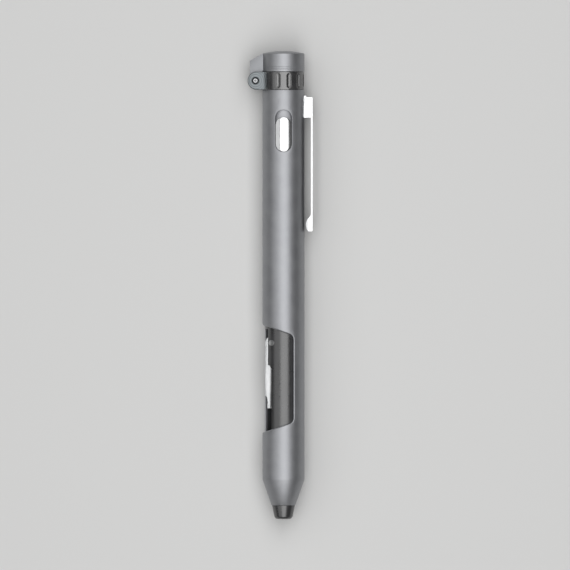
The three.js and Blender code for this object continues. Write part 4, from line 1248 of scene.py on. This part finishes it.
def ring_turned(name, dark, light, rough, smooth):
    """Metal faced in a lathe: fine rings round the piece's upright axis, with painted shade darkening their
    floors.
    """
    made, tree, shader = new_material(name)
    place = add(tree, "TexCoord").outputs["Object"]
    wobble = {"Distortion": ring_wobble, "Detail": ring_detail, "Detail_Scale": ring_detail_scale}
    heights = []
    for share in (1, fine_share):
        # At a scale of 1 the wave comes round every tenth of pi.
        rings = add(tree, "TexWave", Vector=place, Scale=math.pi / 10 / (ring_pitch * share * mm), **wobble)
        rings.wave_type = "RINGS"
        rings.rings_direction = "Z"
        heights.append(rings.outputs["Fac"])
    both = reckoned(tree, "MULTIPLY_ADD", heights[1], fine_share, heights[0])
    height = ranged(tree, both, 0, 1, 0, 1 + fine_share)
    wear = stretched_noise(tree, unstretched, ring_wear_frequency, ring_wear_detail)
    # The ring floors take the dark colour: painted shade in the grooves, on top of the real relief that the
    # bump gives.
    fed(tree, shader, Metallic=1, Base_Color=tinted(tree, height, dark, light))
    fed(tree, shader, Roughness=ranged(tree, wear, smooth, rough))
    fed(tree, shader, Normal=raised(tree, height, ring_strength, ring_depth))
    return made


def tipped(bm, side):
    """A turned solid with its axis tipped upright, its far end up for 1 and down for -1."""
    bmesh.ops.rotate(bm, verts=bm.verts, matrix=Matrix.Rotation(side * math.pi / 2, 3, "X"))
    return bm


hinge_grey = ring_turned(
    "hinge_grey", dark=(0.117, 0.129, 0.135), light=(0.188, 0.203, 0.211), rough=0.46, smooth=0.38
)
rubbed_steel = metal(
    "rubbed_steel", dark=(0.33, 0.335, 0.34), light=(0.42, 0.425, 0.43),
    rough=0.42, smooth=0.30, grain=unstretched, grain_depth=0.006,
)
ear_nose = [
    (-ear_reach + ear_radius * math.cos(turn), hinge_y + ear_radius * math.sin(turn))
    for turn in spread(math.pi / 2, 1.5 * math.pi, ear_nose_steps)
]
ear_flank = rounded(
    [
        (-ear_reach, hinge_y - ear_radius, 0),
        (-ear_inner, hinge_y - ear_radius, ear_rounding),
        (-ear_inner, hinge_y + ear_radius, ear_rounding),
        (-ear_reach, hinge_y + ear_radius, 0),
    ],
    ear_flank_steps,
)
ear_outline = ear_nose + ear_flank[1:-1]
ear_layers = []
for turn in spread(0, math.pi / 2, ear_edge_steps):
    z = ear_half_depth - ear_edge * (1 - math.cos(turn))
    ear_layers.append((z, ear_edge * (1 - math.sin(turn))))
ears_bm = bmesh.new()
ear_rows = []
for z, inset in [(-z, inset) for z, inset in ear_layers] + ear_layers[::-1]:
    row = []
    for i, point in enumerate(ear_outline):
        before = Vector(ear_outline[i - 1])
        after = Vector(ear_outline[(i + 1) % len(ear_outline)])
        along = (after - before).normalized()
        inward = Vector((-along.y, along.x))
        row.append(ears_bm.verts.new((*(Vector(point) + inward * inset), z)))
    ear_rows.append(row)
join_rows(ears_bm, ear_rows)
ears_bm.faces.new(ear_rows[0])
ears_bm.faces.new(ear_rows[-1])
slot_left = -ear_reach - ear_radius - overrun
slot_right = -ear_inner - saddle_width
between = box_plate(
    slot_left, slot_right, head_low - overrun, band_high + overrun, -ear_slot_half, ear_slot_half
)
ears_bm = cut(settled(ears_bm), between, drill(hinge_x, hinge_y, hinge_pin_radius))
sink_profile = [
    (0, -overrun),
    (sink_radius, -overrun),
    (sink_radius, 0),
    (hinge_pin_radius + fit, sink_depth),
    (0, sink_depth),
]
for side in (-1, 1):
    sink = tipped(lathe(sink_profile, hinge_pin_steps), -side)
    moved(sink, (hinge_x, hinge_y, side * ear_half_depth))
    bevel = [
        (bevel_from, side * ear_half_depth),
        (-ear_inner - bevel_lip, side * (ear_half_depth - bevel_drop)),
        (-ear_inner, side * (ear_half_depth - bevel_drop - bevel_lip)),
        (-ear_inner + bevel_lip, side * (ear_half_depth - bevel_drop - bevel_lip)),
        (-ear_inner + bevel_lip, side * past),
        (bevel_from, side * past),
    ]
    ears_bm = cut(ears_bm, sink, turned_to("y", plate(bevel, head_low - overrun, band_high + overrun)))
finished("hinge_ears", ears_bm, hinge_grey, "head", ["hinge_bracket"], hinge)

pin_end = [
    (0, hinge_pin_half - dimple_depth),
    (dimple_radius * dimple_side_share, hinge_pin_half - dimple_depth * dimple_floor_share),
    (dimple_radius, hinge_pin_half),
    (hinge_pin_radius - hinge_pin_chamfer, hinge_pin_half),
    (hinge_pin_radius, hinge_pin_half - hinge_pin_chamfer),
]
pin_bm = tipped(lathe([(radius, -y) for radius, y in pin_end] + pin_end[::-1], hinge_pin_steps), 1)
moved(pin_bm, hinge)
finished("hinge_pin_headed", pin_bm, rubbed_steel, "head", ["hinge_pin"], hinge)

# Torch: a brass battery tube with its spring and three button cells, and above it the board with
# its lamp, the mirrored bowl, the clear lens and the steel bezel pressed in over it.
board_rise = 0.8
board_top = head_low + board_rise
led_radius = 1.45
led_height = 2.7
led_rounding = 1.44
led_flange_radius = 1.62
led_flange_height = 0.4
led_flange_rounding = 0.06
led_steps = 48
bowl_height = 3.5
bowl_throat = 1.8
bowl_lip = 0.55
bowl_steps = 20
lens_rim = 0.8
lens_dome = 3.6
lens_crown = 0.85
lens_steps = 16
torch_steps = 96
bezel_spigot = 0.5
bezel_bore = 3.75
bezel_radius = 4.8
bezel_height = 0.9
bezel_rounding = 0.2
bezel_foot_rounding = 0.08
acrylic_ior = 1.49
ripple_frequency = 350
ripple_detail = 2
ripple_strength = 0.2
ripple_depth = 0.003


def clear(name, tint, roughness):
    """Clear moulded plastic with a faint ripple."""
    made, tree, shader = new_material(name)
    ripple = stretched_noise(tree, unstretched, ripple_frequency, ripple_detail)
    fed(tree, shader, Transmission_Weight=1, IOR=acrylic_ior)
    fed(tree, shader, Base_Color=tinted(tree, ripple, tint, (1, 1, 1)))
    fed(tree, shader, Roughness=ranged(tree, ripple, roughness, roughness * 2))
    fed(tree, shader, Normal=raised(tree, ripple, ripple_strength, ripple_depth))
    return made


green_board = plastic(
    "green_board", (0.02, 0.09, 0.04), rough=0.6, smooth=0.45, texture_depth=0.01, specular=0.5
)
lamp_clear = clear("lamp_clear", (0.98, 0.93, 0.62), 0.08)
lens_clear = clear("lens_clear", (0.95, 0.97, 0.98), 0.02)
mirror = metal(
    "mirror_bowl", dark=(0.86, 0.86, 0.865), light=(0.90, 0.90, 0.905),
    rough=0.07, smooth=0.03, grain=unstretched, grain_depth=0.001,
)
dress("battery_tube", brass)
dress("battery_spring", satin_steel)
for number in (1, 2, 3):
    dress("cell_" + str(number), polished_steel)
dress("led_board", green_board)
led_bm = soft_lathe(
    [
        (0, board_top, 0),
        (led_flange_radius, board_top, 0),
        (led_flange_radius, board_top + led_flange_height, led_flange_rounding),
        (led_radius, board_top + led_flange_height, 0),
        (led_radius, board_top + led_height, led_rounding),
        (0, board_top + led_height, 0),
    ],
    led_steps,
)
finished("lamp_dome", led_bm, lamp_clear, "head", ["led"])

torch_radius = torch_bore - fit
bowl_mouth = torch_bore - bowl_lip
bowl_profile = [(torch_radius, board_top), (torch_radius, board_top + bowl_height)]
for t in spread(0, 1, bowl_steps):
    radius = bowl_mouth + (bowl_throat - bowl_mouth) * t**2
    bowl_profile.append((radius, board_top + bowl_height * (1 - t)))
bowl_bm = lathe(bowl_profile, torch_steps)
finished("reflector_bowl", bowl_bm, mirror, "head", ["reflector"])

lens_low = band_high - bezel_spigot - fit - lens_rim
lens_high = lens_low + lens_rim
lens_profile = [(0, lens_low), (torch_radius, lens_low), (torch_radius, lens_high)]
for turn in spread(0, math.pi / 2, lens_steps)[:-1]:
    lens_profile.append((lens_dome * math.cos(turn), lens_high + lens_crown * math.sin(turn)))
lens_profile.append((0, lens_high + lens_crown))
finished("torch_lens", lathe(lens_profile, torch_steps), lens_clear, "head", ["lens"])

bezel_bm = soft_lathe(
    [
        (bezel_bore, band_high - bezel_spigot, 0),
        (torch_radius, band_high - bezel_spigot, 0),
        (torch_radius, band_high, 0),
        (bezel_radius, band_high, bezel_foot_rounding),
        (bezel_radius, band_high + bezel_height, bezel_rounding),
        (bezel_bore, band_high + bezel_height, bezel_rounding),
    ]
)
finished("torch_bezel", bezel_bm, polished_steel, "head", ["lens_bezel"])

# Flip cap: turned from the barrel's aluminium with a low dome and two fine grooves near its rim,
# and milled on the hinge side to a block and a knuckle that turns between the ears.
cap_low = 143.5
cap_high = 150.0
cap_rim_rounding = 0.05
cap_dome = 0.70
cap_dome_steps = 12
cap_shoulder = 0.12
cap_shoulder_rounding = 0.06
cap_flat = 2.4
cap_hollow = 5.2
cap_hollow_top = 146.6
cap_hollow_rounding = 0.3
cap_lip_rounding = 0.08
cap_steps = 144
cap_groove_rise = (0.8, 1.46)
cap_groove_half = 0.08
cap_groove_depth = 0.055
cap_groove_rounding = 0.02
block_reach = 10.8
block_inner = 6.0
block_half = 1.6
block_side = 3.5
block_drop = 0.8
block_edge = 0.14
block_gap = 0.6
block_top_rounding = 0.2
block_side_rounding = 0.25
knuckle_radius = 2.45
knuckle_steps = 64
milled_facing = 0.99
milled_nearness = 0.01
milled_aluminium = metal(
    "milled_aluminium", dark=(0.215, 0.22, 0.23), light=(0.245, 0.25, 0.26),
    rough=0.5, smooth=0.42, grain=(6, 0.6, 0.6), grain_depth=0.006,
)
cap_corners = [(cap_hollow, cap_low, cap_lip_rounding), (barrel_radius, cap_low, cap_rim_rounding)]
for rise in cap_groove_rise:
    cap_corners += [
        (barrel_radius, cap_low + rise - cap_groove_half, cap_groove_rounding),
        (barrel_radius - cap_groove_depth, cap_low + rise, cap_groove_rounding),
        (barrel_radius, cap_low + rise + cap_groove_half, cap_groove_rounding),
    ]
cap_corners.append((barrel_radius, cap_high - cap_dome - cap_shoulder, cap_shoulder_rounding))
dome_edge = barrel_radius - cap_shoulder
for radius in spread(dome_edge, cap_flat, cap_dome_steps):
    fall_share = (radius**2 - cap_flat**2) / (dome_edge**2 - cap_flat**2)
    cap_corners.append((radius, cap_high - cap_dome * fall_share, 0))
cap_corners += [
    (0, cap_high, 0),
    (0, cap_hollow_top, 0),
    (cap_hollow, cap_hollow_top, cap_hollow_rounding),
]
cap_bm = soft_lathe(cap_corners, cap_steps)
block_root = -ear_inner - saddle_width - block_gap
block_outline = [
    (-block_reach, hinge_y, 0),
    (block_root, hinge_y, 0),
    (block_root, cap_low, 0),
    (-block_inner, cap_low, 0),
    (-block_inner, cap_high - block_drop, 0),
    (-barrel_radius, cap_high - block_drop, block_top_rounding),
    (-block_reach, cap_low + block_side, block_side_rounding),
]
cap_block = plate(rounded(block_outline), -block_half, block_half, block_edge)
knuckle_outline = circle(hinge_x, hinge_y, knuckle_radius, knuckle_steps)
knuckle = plate(knuckle_outline, -block_half, block_half, block_edge)
cap_bm = cut(joined(cap_bm, cap_block, knuckle), drill(hinge_x, hinge_y, hinge_pin_radius))
cap = finished("cap_turned", cap_bm, satin_aluminium, "cap", ["cap_shell"])
cap.data.materials.append(milled_aluminium)
for face in cap.data.polygons:
    beside = abs(abs(face.center.z / mm) - block_half)
    if abs(face.normal.z) > milled_facing and beside < milled_nearness:
        face.material_index = 1
